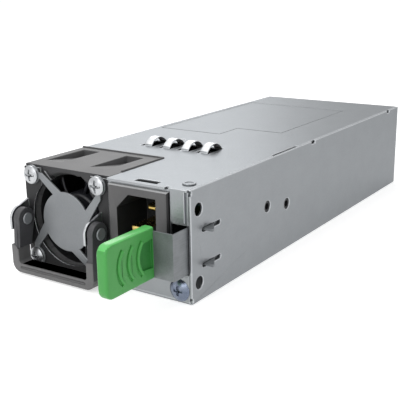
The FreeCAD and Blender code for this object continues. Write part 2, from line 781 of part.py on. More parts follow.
def fan_housing():
    body = new_body("housing")
    left = f"({FAN_X} - fan_size / 2)"
    right = f"({FAN_X} + fan_size / 2)"
    pad(body, "xz", [frame_of(left, right, "wall", TOP)], FAN_FRONT, FAN_REAR)
    pad(body, "xy", [frame_of(LEFT, FLANGE_RIGHT, FAN_FRONT, FLANGE_REAR)], FLANGE_UNDER, TOP)
    lip_side = f"({FLANGE_RIGHT} - fan_lip_width)"
    lip_front = f"({FLANGE_REAR} - fan_lip_width)"
    pad(body, "xy", [[
        (lip_side, along("pocket_front_y")), (FLANGE_RIGHT, along("pocket_front_y")),
        (FLANGE_RIGHT, FLANGE_REAR), (LEFT, FLANGE_REAR), (LEFT, lip_front), (lip_side, lip_front),
    ]], TOP, f"({TOP} + fan_lip_height)")
    doc.recompute()
    pocket(body, "xz", [(FAN_X, FAN_Z, FAN_BORE)], FAN_FRONT, FAN_REAR)
    doc.recompute()
    for outline in fan_openings():
        pocket(body, "xz", [outline], FAN_FRONT, f"{FAN_FRONT} + notch_back")
    holes = [(x, z, SHANK_HOLE) for x, z in fan_corners()]
    pocket(body, "xz", holes, FAN_FRONT, f"{FAN_FRONT} + screw_length")
    pocket_rear = f"({FLANGE_REAR} - pocket_rear_inset)"
    for start in (across("pocket_left_x"), f"({FLANGE_RIGHT} - pocket_right_inset - pocket_width)"):
        ramp = [(along("pocket_front_y"), TOP), (pocket_rear, f"{TOP} - pocket_depth"), (pocket_rear, TOP)]
        pocket(body, "yz", [ramp], start, f"{start} + pocket_width")
    mouth = cone("fan_mouth", "y", (FAN_X, FAN_FRONT, FAN_Z),
                 "fan_size / 2 - fan_mouth_rim", FAN_BORE, "fan_mouth_depth")
    shell = cut("housing_shell", body, [mouth])
    base = rod("motor_base", "y", (FAN_X, f"{FAN_REAR} - motor_base_thick", FAN_Z),
               "motor_base_radius", "motor_base_thick")
    strut_y = f"({FAN_REAR} - strut_depth)"
    reach = f"({FAN_BORE} + strut_root)"
    level_strut = box("level_strut", (f"{FAN_X} - {reach}", strut_y, f"{FAN_Z} - strut_width / 2"),
                      (f"{FAN_X} + {reach}", FAN_REAR, f"{FAN_Z} + strut_width / 2"))
    upright_strut = box("upright_strut", (f"{FAN_X} - strut_width / 2", strut_y, f"{FAN_Z} - {reach}"),
                        (f"{FAN_X} + strut_width / 2", FAN_REAR, f"{FAN_Z} + {reach}"))
    spider = fuse("spider", [base, level_strut, upright_strut])
    shaft_hole = rod("shaft_hole", "y", (FAN_X, strut_y, FAN_Z), "shaft_radius + shaft_play", "strut_depth")
    whole = fuse("housing_whole", [shell, spider])
    keep(cut("housing_done", whole, [shaft_hole]), "fan_housing")


def fan_motor():
    start = f"({FAN_REAR} - strut_depth - {MOTOR_LENGTH})"
    core = rod("motor_core", "y", (FAN_X, start, FAN_Z), "motor_radius", MOTOR_LENGTH)
    bore = rod("motor_bore", "y", (FAN_X, start, FAN_Z), "shaft_radius + shaft_play", MOTOR_LENGTH)
    keep(cut("motor", core, [bore]), "fan_motor")


def blade():
    # A swept blade of flat facets between the hub and the tip, each station turned about the axis.
    stations = int(value("blade_stations"))
    length = value(BLADE_LENGTH)
    start = value(f"{HUB_FRONT} + blade_margin")
    centre = V(value(FAN_X), 0, value(FAN_Z))
    corners = {}
    for end, radius, twist in (("root", value("hub_radius - blade_root"), value("blade_root_twist")),
                               ("tip", value(BLADE_TIP), value("blade_tip_twist"))):
        for step in range(stations):
            part = step / (stations - 1)
            bow = value("blade_bow") * 4 * part * (1 - part)
            shift = (part - 0.5) * length * math.tan(math.radians(twist)) + bow
            for side in (-1, 1):
                angle = (shift + side * value("blade_thick") / 2) / radius
                corners[end, step, side] = centre + V(radius * math.cos(angle), start + part * length,
                                                      radius * math.sin(angle))
    quads = []
    for step in range(stations - 1):
        for side in (-1, 1):
            quads.append([("root", step, side), ("root", step + 1, side),
                          ("tip", step + 1, side), ("tip", step, side)])
        for end in ("root", "tip"):
            quads.append([(end, step, -1), (end, step + 1, -1), (end, step + 1, 1), (end, step, 1)])
    for step in (0, stations - 1):
        quads.append([("root", step, -1), ("tip", step, -1), ("tip", step, 1), ("root", step, 1)])
    faces = []
    for quad in quads:
        a, b, c, d = [corners[key] for key in quad]
        faces.append(Part.Face(Part.makePolygon([a, b, c, a])))
        faces.append(Part.Face(Part.makePolygon([a, c, d, a])))
    solid = Part.Solid(Part.Shell(faces))
    if solid.Volume < 0:
        solid.reverse()
    return solid


def fan_impeller():
    hub_solid = capped("hub_solid", "y", (FAN_X, HUB_FRONT, FAN_Z), "hub_radius", HUB_LENGTH,
                       "hub_chamfer", near=True)
    hub_hollow = rod("hub_hollow", "y", (FAN_X, f"{HUB_FRONT} + hub_wall", FAN_Z),
                     "hub_radius - hub_wall", HUB_LENGTH)
    boss = rod("hub_boss", "y", (FAN_X, f"{HUB_FRONT} + hub_wall / 2", FAN_Z), "boss_radius", "boss_length")
    bore = rod("hub_bore", "y", (FAN_X, f"{HUB_FRONT} + hub_wall / 2", FAN_Z), "shaft_radius", "boss_length")
    hub = cut("hub", fuse("hub_cup", [cut("hub_shell", hub_solid, [hub_hollow]), boss]), [bore])
    doc.recompute()
    first = blade()
    centre = V(value(FAN_X), 0, value(FAN_Z))
    count = int(value("blade_count"))
    blades = []
    for index in range(count):
        turned = first.copy()
        turned.rotate(centre, V(0, 1, 0), 360 * index / count)
        blades.append(turned)
    item = doc.addObject("Part::Feature", "impeller")
    item.Shape = hub.Shape.fuse(blades)
    keep(item, "fan_impeller")


def fan_shaft():
    start = f"({HUB_FRONT} + hub_wall / 2)"
    end = f"({FAN_REAR} - motor_base_thick / 2)"
    keep(rod("shaft", "y", (FAN_X, start, FAN_Z), "shaft_radius", f"{end} - {start}"), "fan_shaft")


def handle_ear(name, left):
    front = f"({PIVOT_Y} - ear_reach)"
    root = f"({FRONT} - ear_root_depth)"
    side = new_body(name)
    pad(side, "yz", [[
        (FRONT, f"{FAN_Z} - ear_root_drop"), (FRONT, f"{FAN_Z} + ear_root_rise"),
        (PIVOT_Y, f"{FAN_Z} + ear_reach"), (PIVOT_Y, FAN_Z), (front, FAN_Z),
        (front, f"{FAN_Z} - ear_step_drop"), (f"{front} + ear_step", f"{FAN_Z} - ear_step_drop"),
        (f"{front} + ear_step", f"{FAN_Z} - ear_bottom_drop"), (root, f"{FAN_Z} - ear_bottom_drop"),
        (root, f"{FAN_Z} - ear_root_drop"),
    ]], left, f"{left} + ear_thick")
    eye = rod(name + "_eye", "x", (left, PIVOT_Y, FAN_Z), "ear_reach", "ear_thick")
    bore = rod(name + "_bore", "x", (left, PIVOT_Y, FAN_Z), "handle_pin_radius", "ear_thick")
    return cut(name + "_bored", fuse(name + "_whole", [side, eye]), [bore])


def handle_bracket():
    body = new_body("bracket")
    pad(body, "xz", [frame_of(BRACKET_LEFT, BRACKET_RIGHT,
                              "wall + bracket_foot", f"{TOP} - bracket_top_gap")], FRONT, FAN_FRONT)
    doc.recompute()
    pocket(body, "xz", [(FAN_X, FAN_Z, FAN_BORE)], FRONT, FAN_FRONT)
    doc.recompute()
    dip_left = f"({FAN_X} - bracket_dip_half)"
    dip_right = f"({FAN_X} + bracket_dip_half)"
    pocket(body, "xz", [[
        (dip_left, f"{FAN_Z} + bracket_dip_z"), (dip_right, f"{FAN_Z} + bracket_dip_z"),
        (f"{dip_right} + bracket_dip_slope", TOP), (f"{dip_left} - bracket_dip_slope", TOP),
    ]], FRONT, FAN_FRONT)
    doc.recompute()
    # A pointed tab beside the upper left screw.
    pad(body, "xz", [[
        (f"({FAN_X} - bracket_tab_root)", f"({TOP} - bracket_tab_root_drop)"),
        (f"({FAN_X} - bracket_tab_peak)", f"({TOP} - bracket_tab_peak_drop)"),
        (f"({FAN_X} - bracket_tab_end)", f"({TOP} - bracket_tab_end_drop)"),
    ]], FRONT, FAN_FRONT)
    holes = [(x, z, SHANK_HOLE) for x, z in fan_corners()]
    pocket(body, "xz", holes, FRONT, FAN_FRONT)
    ears = [handle_ear("left_ear", BRACKET_LEFT), handle_ear("right_ear", RIGHT_EAR)]
    keep(fuse("bracket_with_ears", [body] + ears), "handle_bracket")


def handle_pin(name, ear_left, knuckle_right):
    shank = rod(name + "_shank", "x", (ear_left, PIVOT_Y, FAN_Z), "handle_pin_radius",
                f"{knuckle_right} - {ear_left} + ear_gap / 2")
    head = capped(name + "_head", "x", (f"{knuckle_right} + ear_gap / 2", PIVOT_Y, FAN_Z),
                  "pin_head_radius", "pin_head_thick", "pin_head_chamfer")
    keep(fuse(name, [shank, head]), name)


def pull_handle():
    right = f"({RIGHT_KNUCKLE} + right_knuckle_width)"
    front = along("0 - grip_reach")
    rear = f"({front} + grip_depth)"
    grip_top = f"({FAN_Z} - grip_drop)"
    bar_top = "(grip_bottom_z + grip_bar)"
    left_inner = f"({BRACKET_LEFT} + grip_wall)"
    right_inner = f"({right} - grip_wall)"
    grip = new_body("grip")
    pad(grip, "xz", [[
        (BRACKET_LEFT, "grip_bottom_z"), (right, "grip_bottom_z"), (right, grip_top),
        (f"{right_inner} + grip_edge", grip_top), (right_inner, f"{grip_top} - grip_edge"),
        (right_inner, f"{bar_top} + grip_corner"), (f"{right_inner} - grip_corner", bar_top),
        (f"{left_inner} + grip_corner", bar_top), (left_inner, f"{bar_top} + grip_corner"),
        (left_inner, f"{grip_top} - grip_edge"), (f"{left_inner} - grip_edge", grip_top),
        (BRACKET_LEFT, grip_top),
    ]], front, rear)
    doc.recompute()
    # A shallow groove runs along the bar's front face.
    pocket(grip, "xz", [frame_of(f"{left_inner} + grip_corner", f"{right_inner} - grip_corner",
                                 f"{bar_top} - groove_drop - groove_height", f"{bar_top} - groove_drop")],
           front, f"{front} + groove_depth")
    pieces_of = [grip]
    bores = []
    for side, start, width in (("left", LEFT_KNUCKLE, "left_knuckle_width"),
                               ("right", RIGHT_KNUCKLE, "right_knuckle_width")):
        arm = new_body(f"{side}_arm")
        pad(arm, "yz", [[
            (rear, f"{grip_top} - arm_overlap"), (f"{PIVOT_Y} + arm_rear", f"{FAN_Z} - arm_rear_drop"),
            (PIVOT_Y, FAN_Z), (f"{PIVOT_Y} - arm_front", f"{FAN_Z} - arm_front_drop"),
            (front, f"{grip_top} - arm_overlap"),
        ]], start, f"{start} + {width}")
        pieces_of.append(arm)
        pieces_of.append(rod(f"{side}_arm_knuckle", "x", (start, PIVOT_Y, FAN_Z), "knuckle_radius", width))
        bores.append(rod(f"{side}_bore", "x", (start, PIVOT_Y, FAN_Z), "handle_pin_radius + handle_pin_play",
                         width))
    bored = cut("handle_bored", fuse("handle_whole", pieces_of), bores)
    bottom = value("grip_bottom_z")
    ends = (value(BRACKET_LEFT), value(right))

    def outer_corner(edge):
        span = edge.BoundBox
        return (span.XLength < 1e-4 and span.ZLength < 1e-4 and abs(span.ZMin - bottom) < 1e-4
                and min(abs(span.XMin - end) for end in ends) < 1e-4)

    keep(rounded("handle_rounded", bored, "grip_round", outer_corner), "pull_handle")


def fan_guard():
    # A disc on four bent legs; each leg is the first one turned by a quarter.
    reach = "(fan_size / 2 - fan_screw_inset)"
    half = "(guard_leg_width / 2)"
    leg = [
        (f"({reach} - {half})", reach), (f"({reach} + {half})", reach),
        (f"({reach} + {half})", f"({reach} - guard_leg_run)"),
        ("(guard_disc_radius - guard_root_inset)", "guard_root_z"),
        ("(guard_disc_radius - guard_root_width)", "(guard_root_z + guard_root_rise)"),
        (f"({reach} - {half})", f"({reach} - guard_leg_run + {half})"),
    ]
    body = new_body("guard_legs")
    for turn in range(4):
        pad(body, "xz", [[(f"({FAN_X} + {u})", f"({FAN_Z} + {v})") for u, v in leg]],
            f"({FRONT} - guard_thick)", FRONT)
        leg = [(f"(0 - {v})", u) for u, v in leg]
        if turn == 0:
            pad(body, "xz", [(FAN_X, FAN_Z, "guard_disc_radius")], f"({FRONT} - guard_thick)", FRONT)
    for x, z in fan_corners():
        pad(body, "xz", [(x, z, "guard_eye_radius")], f"({FRONT} - guard_thick)", FRONT)
    doc.recompute()
    pocket(body, "xz", [(x, z, SHANK_HOLE) for x, z in fan_corners()], f"({FRONT} - guard_thick)", FRONT)
    keep(body, "fan_guard")


def inlet_body():
    body = new_body("inlet")
    bezel_front = along("0 - bezel_thick")
    floor = f"({bezel_front} + inlet_depth)"
    pad(body, "xz", [frame_of(BEZEL_LEFT, BEZEL_RIGHT, f"{INLET_BOTTOM} - bezel_bottom_rim", BEZEL_TOP)],
        bezel_front, FRONT)
    pad(body, "xz", [frame_of(f"{INLET_LEFT} - inlet_wall", f"{INLET_RIGHT} + inlet_wall",
                              f"{INLET_BOTTOM} - inlet_body_wall", f"{INLET_TOP} + inlet_body_wall")],
        FRONT, f"{floor} + inlet_back")
    doc.recompute()
    pocket(body, "xz", [[
        (f"{INLET_LEFT} + inlet_chamfer", INLET_BOTTOM),
        (INLET_RIGHT, INLET_BOTTOM), (INLET_RIGHT, INLET_TOP),
        (f"{INLET_LEFT} + inlet_chamfer", INLET_TOP), (INLET_LEFT, f"{INLET_TOP} - inlet_chamfer"),
        (INLET_LEFT, f"{INLET_BOTTOM} + inlet_chamfer"),
    ]], bezel_front, floor)
    holes = [frame_of(f"{x} - pin_width / 2", f"{x} + pin_width / 2",
                      f"{z} - pin_thick / 2", f"{z} + pin_thick / 2") for _, x, _, z in inlet_pins()]
    pocket(body, "xz", holes, floor, f"{floor} + inlet_back")
    front_y = value(bezel_front)
    cavity = (value(INLET_LEFT), value(INLET_RIGHT))

    def rim(edge):
        span = edge.BoundBox
        outside = span.XMin < cavity[0] - 1e-4 or span.XMax > cavity[1] + 1e-4
        return span.YLength < 1e-4 and abs(span.YMin - front_y) < 1e-4 and outside

    keep(rounded("inlet_rounded", body, "bezel_round", rim), "inlet_body")


def inlet_pins():
    middle = f"({INLET_BOTTOM} + inlet_height / 2)"
    front = along("0 - bezel_thick")
    line_x, line_y = f"({INLET_LEFT} + line_pin_offset)", f"({front} + line_pin_recess)"
    return [
        ("inlet_earth_pin", f"({INLET_LEFT} + earth_pin_offset)", f"({front} + earth_pin_recess)", middle),
        ("inlet_line_pin", line_x, line_y, f"({middle} + line_pin_spacing / 2)"),
        ("inlet_neutral_pin", line_x, line_y, f"({middle} - line_pin_spacing / 2)"),
    ]


def inlet_pin(name, x, tip_y, z):
    end = along("inlet_depth - bezel_thick + inlet_back + pin_tail")
    bar = box(name + "_bar", (f"{x} - pin_width / 2", tip_y, f"{z} - pin_thick / 2"),
              (f"{x} + pin_width / 2", end, f"{z} + pin_thick / 2"))
    front_y = value(tip_y)
    item = chamfered(name, bar, "pin_chamfer",
                     lambda edge: edge.BoundBox.YLength < 1e-4 and abs(edge.BoundBox.YMin - front_y) < 1e-4)
    keep(item, name)


def cover_rivet():
    x, y = f"({RIGHT} - cover_rivet_inset)", along("cover_rivet_y")
    head = rod("cover_rivet_head", "z", (x, y, TOP), "cover_rivet_radius", "cover_rivet_height")
    shank = rod("cover_rivet_shank", "z", (x, y, f"{COVER_UNDER} - cover_rivet_tail"),
                "cover_rivet_shank", "cover_thick + cover_rivet_tail")
    dish = rod("cover_rivet_dish", "z", (x, y, f"{TOP} + cover_rivet_height / 2"),
               "cover_rivet_dish_radius", "cover_rivet_height")
    keep(cut("cover_rivet_done", fuse("cover_rivet_solid", [head, shank]), [dish]), "cover_rivet")


def latch_arm():
    body = new_body("arm")
    end = along("latch_hinge_y - latch_gap / 2")
    pad(body, "xy", [[
        (ARM_OUTER, end), (ARM_INNER, end), (ARM_INNER, f"{LATCH_CORNER} + latch_thick"),
        (LATCH_LEG, f"{LATCH_CORNER} + latch_thick"), (LATCH_LEG, LATCH_CORNER), (ARM_OUTER, LATCH_CORNER),
    ]], "latch_bottom_z", LATCH_TOP)
    tip = f"({RIGHT} + tooth_reach)"
    for height in ("tooth_upper_z", "tooth_lower_z"):
        pad(body, "xy", [[
            (ARM_INNER, along("tooth_front_y")), (tip, along("tooth_front_y")),
            (tip, along("tooth_front_y + tooth_flat")), (ARM_INNER, along(TOOTH_REAR)),
        ]], f"{height} - tooth_thick / 2", f"{height} + tooth_thick / 2")
    keep(body, "latch_arm")


def latch_anchor():
    seat = f"({INNER_RIGHT} - latch_thick)"
    strip = box("anchor_strip", (seat, along("latch_hinge_y + latch_gap / 2"), "latch_bottom_z"),
                (INNER_RIGHT, along("latch_hinge_y + latch_anchor_length"), LATCH_TOP))
    places = {side: (along(f"rivet_{side}_y"), f"rivet_{side}_z") for side in ("front", "rear")}
    holes = [rod(f"anchor_hole_{side}", "x", (seat, y, z), "side_hole_radius", "latch_thick")
             for side, (y, z) in places.items()]
    keep(cut("anchor", strip, holes), "latch_anchor")
    for side, (y, z) in places.items():
        length = "latch_thick + wall - rivet_recess"
        shank = rod(f"rivet_{side}_shank", "x", (seat, y, z), "side_hole_radius - rivet_play", length)
        head = rod(f"rivet_{side}_head", "x", (f"{seat} - rivet_head_thick", y, z),
                   "rivet_head_radius", "rivet_head_thick")
        well = rod(f"rivet_{side}_well", "x", (seat, y, z), "rivet_well_radius", length)
        keep(cut(f"rivet_{side}", fuse(f"rivet_{side}_solid", [shank, head]), [well]), f"latch_rivet_{side}")


def latch_tab():
    left = f"({LATCH_LEG} - tab_thick)"
    rear = f"({LATCH_CORNER} + latch_thick)"
    front = f"({rear} - tab_length)"
    low = "(latch_bottom_z - tab_drop)"
    block = box("tab_block", (left, front, low), (LATCH_LEG, rear, f"{low} + tab_height"))
    front_y = value(front)
    corners = rounded("tab_corners", block, "tab_round",
                      lambda edge: edge.BoundBox.XLength > 1 and abs(edge.BoundBox.YMin - front_y) < 1e-4)
    ridges = []
    middle = f"({low} + tab_height / 2)"
    for index in range(int(value("grip_arc_count"))):
        centre_y = f"({front} + grip_arc_inset + grip_arc_radius + {index} * grip_arc_pitch)"
        ring = cut(f"ridge_{index}_ring",
                   rod(f"ridge_{index}_outer", "x", (LATCH_LEG, centre_y, middle),
                       "grip_arc_radius", "grip_arc_height"),
                   [rod(f"ridge_{index}_inner", "x", (LATCH_LEG, centre_y, middle),
                        "grip_arc_radius - grip_arc_width", "grip_arc_height")])
        front_half = box(f"ridge_{index}_half",
                         (LATCH_LEG, f"{centre_y} - grip_arc_radius", f"{middle} - grip_arc_half"),
                         (f"{LATCH_LEG} + grip_arc_height", centre_y, f"{middle} + grip_arc_half"))
        ridges.append(common(f"ridge_{index}", ring, front_half))
    keep(fuse("tab_with_ridges", [corners] + ridges), "latch_tab")


BOARD_LEFT = f"({INNER_LEFT} + board_side_gap)"
BOARD_RIGHT = f"({INNER_RIGHT} - board_side_gap)"
BOARD_FRONT_Y = along(BOARD_START)
BOARD_REAR_Y = along(BOARD_END)
TONGUE_END = f"({REAR} + tongue_reach)"


def board_points():
    sides = (f"({BOARD_LEFT} + standoff_inset)", f"({BOARD_RIGHT} - standoff_inset)")
    return [(x, y) for y in (f"({BOARD_FRONT_Y} + standoff_inset)", f"({BOARD_REAR_Y} - standoff_inset)")
            for x in sides]


def main_board():
    body = new_body("board")
    pad(body, "xy", [[
        (BOARD_LEFT, BOARD_FRONT_Y), (BOARD_RIGHT, BOARD_FRONT_Y), (BOARD_RIGHT, BOARD_REAR_Y),
        (TONGUE_RIGHT, BOARD_REAR_Y), (TONGUE_RIGHT, TONGUE_END), (TONGUE_LEFT, TONGUE_END),
        (TONGUE_LEFT, BOARD_REAR_Y), (BOARD_LEFT, BOARD_REAR_Y),
    ]], "board_z", BOARD_TOP)
    keep(body, "main_board")
    for index, (x, y) in enumerate(board_points(), start=1):
        keep(rod(f"standoff_{index}", "z", (x, y, "wall"), "standoff_radius", "board_z - wall"),
             f"board_standoff_{index}")
    sheet_body = new_body("film_sheet")
    pad(sheet_body, "xy", [frame_of(f"{INNER_LEFT} + sheet_inset", f"{INNER_RIGHT} - sheet_inset",
                                    BOARD_FRONT_Y, BOARD_REAR_Y)], "wall", "wall + sheet_thick")
    doc.recompute()
    pocket(sheet_body, "xy", [(x, y, "standoff_radius + sheet_play") for x, y in board_points()],
           "wall", "wall + sheet_thick")
    keep(sheet_body, "insulating_sheet")


def edge_contacts(name, low, high):
    end = f"({TONGUE_END} - contact_setback)"
    pitch = "((tongue_width - 2 * contact_margin - contact_width) / (contact_count - 1))"
    strips = []
    for index in range(int(value("contact_count"))):
        left = f"({TONGUE_LEFT} + contact_margin + {index} * {pitch})"
        strips.append(box(f"{name}_strip_{index}", (left, f"{end} - contact_length", low),
                          (f"{left} + contact_width", end, high)))
    row = doc.addObject("Part::Compound", name)
    row.Links = strips
    keep(row, name)


def toroid(name, x, y, radius):
    ring = capped(name + "_ring", "z", (x, y, BOARD_TOP), radius, "choke_height", "choke_chamfer")
    hole = rod(name + "_hole", "z", (x, y, BOARD_TOP), "choke_hole_radius", "choke_height")
    keep(cut(name, ring, [hole]), name)


def side_sink():
    # The tall sink stands on edge: its fins point to the middle of the body.
    x, y = across("sink_x"), along(SINK_Y)
    height = f"({HEAD_ROOM} - sink_head_room)"
    parts = [box("side_sink_plate", (x, y, BOARD_TOP),
                 (f"{x} + sink_plate", f"{y} + sink_length", f"{BOARD_TOP} + {height}"))]
    pitch = f"(({height} - sink_foot - fin_thick) / (fin_count - 1))"
    for index in range(int(value("fin_count"))):
        level = f"({BOARD_TOP} + sink_foot + {index} * {pitch})"
        parts.append(box(f"side_sink_fin_{index}", (f"{x} + sink_plate", y, level),
                         (f"{x} + sink_plate + fin_reach", f"{y} + sink_length", f"{level} + fin_thick")))
    keep(fuse("side_sink", parts), "primary_heatsink")


def rear_sink():
    x = f"({INNER_RIGHT} - rear_sink_side_gap - rear_sink_width)"
    y = along(REAR_SINK_Y)
    base_top = f"({BOARD_TOP} + rear_sink_base)"
    parts = [box("rear_sink_plate", (x, y, BOARD_TOP),
                 (f"{x} + rear_sink_width", f"{y} + rear_sink_length", base_top))]
    pitch = "((rear_sink_width - fin_thick) / (rear_fin_count - 1))"
    for index in range(int(value("rear_fin_count"))):
        start = f"({x} + {index} * {pitch})"
        parts.append(box(f"rear_sink_fin_{index}", (start, y, base_top),
                         (f"{start} + fin_thick", f"{y} + rear_sink_length",
                          f"{base_top} + rear_fin_height")))
    keep(fuse("rear_sink", parts), "rectifier_heatsink")


def transformer():
    x, y = across("sink_x + sink_plate + fin_reach + core_gap"), along(CORE_Y)
    block = box("core_block", (x, y, BOARD_TOP),
                (f"{x} + core_width", f"{y} + core_length", f"{BOARD_TOP} + core_height"))
    window = box("core_window", (f"{x} + core_limb", y, f"{BOARD_TOP} + core_limb"),
                 (f"{x} + core_width - core_limb", f"{y} + core_length",
                  f"{BOARD_TOP} + core_height - core_limb"))
    keep(cut("core", block, [window]), "transformer_core")
    coil = box("coil_block",
               (f"{x} + core_limb + winding_gap", f"{y} - winding_out", f"{BOARD_TOP} + core_limb"),
               (f"{x} + core_width - core_limb - winding_gap", f"{y} + core_length + winding_out",
                f"{BOARD_TOP} + core_height - core_limb - winding_gap"))
    item = rounded("coil", coil, "winding_round",
                   lambda edge: edge.BoundBox.XLength < 1e-4 and edge.BoundBox.YLength < 1e-4)
    keep(item, "transformer_winding")


def board_parts():
    choke_x = "(choke_left_gap + choke_radius)"
    choke_pitch = "(2 * choke_radius + choke_gap)"
    bulk_x = "(bulk_left_gap + bulk_radius)"
    bulk_pitch = "(2 * bulk_radius + bulk_pitch_gap)"
    for index in range(2):
        toroid(f"filter_choke_{index + 1}", across(f"{choke_x} + {index} * {choke_pitch}"), along(CHOKE_Y),
               "choke_radius")
        place = (across(f"{bulk_x} + {index} * {bulk_pitch}"), along(BULK_Y), BOARD_TOP)
        keep(capped(f"bulk_capacitor_{index + 1}", "z", place, "bulk_radius",
                    f"({HEAD_ROOM} - bulk_head_room)", "can_chamfer"), f"bulk_capacitor_{index + 1}")
    toroid("boost_choke", across(f"{bulk_x} + {bulk_pitch} + bulk_radius + boost_gap + boost_radius"),
           along(BULK_Y), "boost_radius")
    x = across(f"{choke_x} + {choke_pitch} + choke_radius + film_capacitor_gap")
    y = along(f"{CHOKE_Y} - film_capacitor_length / 2")
    keep(box("film", (x, y, BOARD_TOP), (f"{x} + film_capacitor_width", f"{y} + film_capacitor_length",
                                         f"{BOARD_TOP} + film_capacitor_height")), "film_capacitor")
    side_sink()
    transformer()
    rear_sink()
    for index in range(int(value("output_count"))):
        name = f"output_capacitor_{index + 1}"
        place = (across(f"output_x + {index} * output_pitch"), along(OUTPUT_Y), BOARD_TOP)
        keep(capped(name, "z", place, "output_radius", "output_height", "can_chamfer / 2"), name)


def rear_panel():
    front = f"({REAR} - wall)"
    body = new_body("rear")
    pad(body, "xz", [frame_of(COVER_LEFT, COVER_RIGHT, "wall", f"{COVER_UNDER} - seam")], front, REAR)
    doc.recompute()
    slot = frame_of(f"{TONGUE_LEFT} - tongue_clearance", f"{TONGUE_RIGHT} + tongue_clearance",
                    "board_z - tongue_clearance", f"{BOARD_TOP} + tongue_clearance")
    pocket(body, "xz", [slot], front, REAR)
    doc.recompute()
    cell = value("vent_cell")
    pitch = cell + value("vent_web")
    row_pitch = pitch * math.sqrt(3) / 2
    corner = cell / math.sqrt(3)
    low_z = value("vent_bottom_z") + corner
    high_z = value(f"{COVER_UNDER} - vent_margin") - corner
    rows = int((high_z - low_z) / row_pitch) + 1
    columns = int((value(f"{COVER_RIGHT} - {COVER_LEFT} - 2 * vent_margin") - cell) / pitch) + 1
    past = value("wall")
    depth = value(f"{REAR} - {front}") + 2 * past
    hexes = []
    for row in range(rows):
        count = columns - row % 2
        for column in range(count):
            across_by = (column - (count - 1) / 2) * pitch
            centre = V(across_by, value(front) - past, low_z + row * row_pitch)
            turns = [math.radians(60 * step) for step in range(7)]
            ring = [centre + V(corner * math.sin(turn), 0, corner * math.cos(turn)) for turn in turns]
            hexes.append(Part.Face(Part.makePolygon(ring)).extrude(V(0, depth, 0)))
    item = doc.addObject("Part::Feature", "rear_vented")
    item.Shape = body.Shape.cut(Part.makeCompound(hexes))
    keep(item, "rear_panel")


def build_all():
    base_chassis()
    top_cover()
    front_plate()
    rear_panel()
    fan_housing()
    fan_motor()
    fan_impeller()
    fan_shaft()
    handle_bracket()
    handle_pin("handle_pin_left", BRACKET_LEFT, f"({LEFT_KNUCKLE} + left_knuckle_width)")
    handle_pin("handle_pin_right", RIGHT_EAR, f"({RIGHT_KNUCKLE} + right_knuckle_width)")
    pull_handle()
    fan_guard()
    for index, (x, z) in enumerate(fan_corners(), start=1):
        screw(f"fan_screw_{index}", x, f"({FRONT} - guard_thick)", z, "screw_head_radius",
              "screw_head_height", "screw_length")
    screw("front_screw", f"({RIGHT} - front_screw_inset)", FRONT, "front_screw_z", "front_screw_radius",
          "front_screw_height", "front_screw_length")
    inlet_body()
    for name, x, y, z in inlet_pins():
        inlet_pin(name, x, y, z)
    cover_rivet()
    latch_arm()
    latch_anchor()
    latch_tab()
    main_board()
    edge_contacts("edge_contacts_top", BOARD_TOP, f"({BOARD_TOP} + contact_thick)")
    edge_contacts("edge_contacts_bottom", "(board_z - contact_thick)", "board_z")
    board_parts()
    doc.recompute()


def check_and_export():
    for item in doc.Objects:
        if {"Invalid", "Error"} & set(item.State):
            raise RuntimeError(f"{item.Name} {item.Label} failed: {item.State}")
    for item in pieces:
        if item.Shape.isNull() or not item.Shape.isValid():
            raise RuntimeError(f"{item.Label} has no valid shape")
    os.makedirs("parts", exist_ok=True)
    for item in pieces:
        item.Shape.exportStep(f"parts/{item.Label}.step")
    print(len(pieces), "pieces")


build_all()
check_and_export()
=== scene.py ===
import bpy
import bmesh
import json
import math
from mathutils import Matrix, Vector


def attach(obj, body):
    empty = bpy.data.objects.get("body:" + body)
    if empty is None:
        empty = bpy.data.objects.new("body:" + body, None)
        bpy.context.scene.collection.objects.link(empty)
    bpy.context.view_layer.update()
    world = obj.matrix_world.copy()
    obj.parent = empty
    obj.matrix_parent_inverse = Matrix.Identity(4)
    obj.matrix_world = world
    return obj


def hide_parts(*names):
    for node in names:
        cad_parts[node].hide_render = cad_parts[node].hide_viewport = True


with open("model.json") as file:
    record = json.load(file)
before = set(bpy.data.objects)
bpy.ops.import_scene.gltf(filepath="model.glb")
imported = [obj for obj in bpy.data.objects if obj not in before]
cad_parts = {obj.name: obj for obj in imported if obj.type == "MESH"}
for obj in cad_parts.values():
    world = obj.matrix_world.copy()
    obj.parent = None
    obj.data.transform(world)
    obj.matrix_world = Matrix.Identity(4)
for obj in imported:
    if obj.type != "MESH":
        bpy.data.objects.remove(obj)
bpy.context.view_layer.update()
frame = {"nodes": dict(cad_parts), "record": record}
scene = bpy.context.scene
mm = 0.001
recordSlots = {part["node"]: part["material_slot"] for part in frame["record"]["subparts"]}
print("stage: frame loaded,", len(frame["nodes"]), "nodes")


def linear(hexColour):
    # the channels of a colour as linear light, with a full fourth one
    channels = [int(hexColour[i:i + 2], 16) / 255 for i in (1, 3, 5)]
    return [c / 12.92 if c <= 0.04045 else ((c + 0.055) / 1.055) ** 2.4 for c in channels] + [1.0]


def addNode(tree, kind, settings=None, inputs=None):
    # settings are the node's own properties, an input is a plain value or the output of another node,
    # or a list of outputs
    node = tree.nodes.new(kind)
    for name, setting in (settings or {}).items():
        setattr(node, name, setting)
    for name, given in (inputs or {}).items():
        sources = given if isinstance(given, list) else [given]
        if isinstance(sources[0], bpy.types.NodeSocket):
            for source in sources:
                tree.links.new(source, node.inputs[name])
        else:
            node.inputs[name].default_value = given
    return node


def maths(tree, operation, *terms):
    # each term is a number or the output of another node
    return addNode(tree, "ShaderNodeMath", {"operation": operation}, dict(enumerate(terms))).outputs[0]


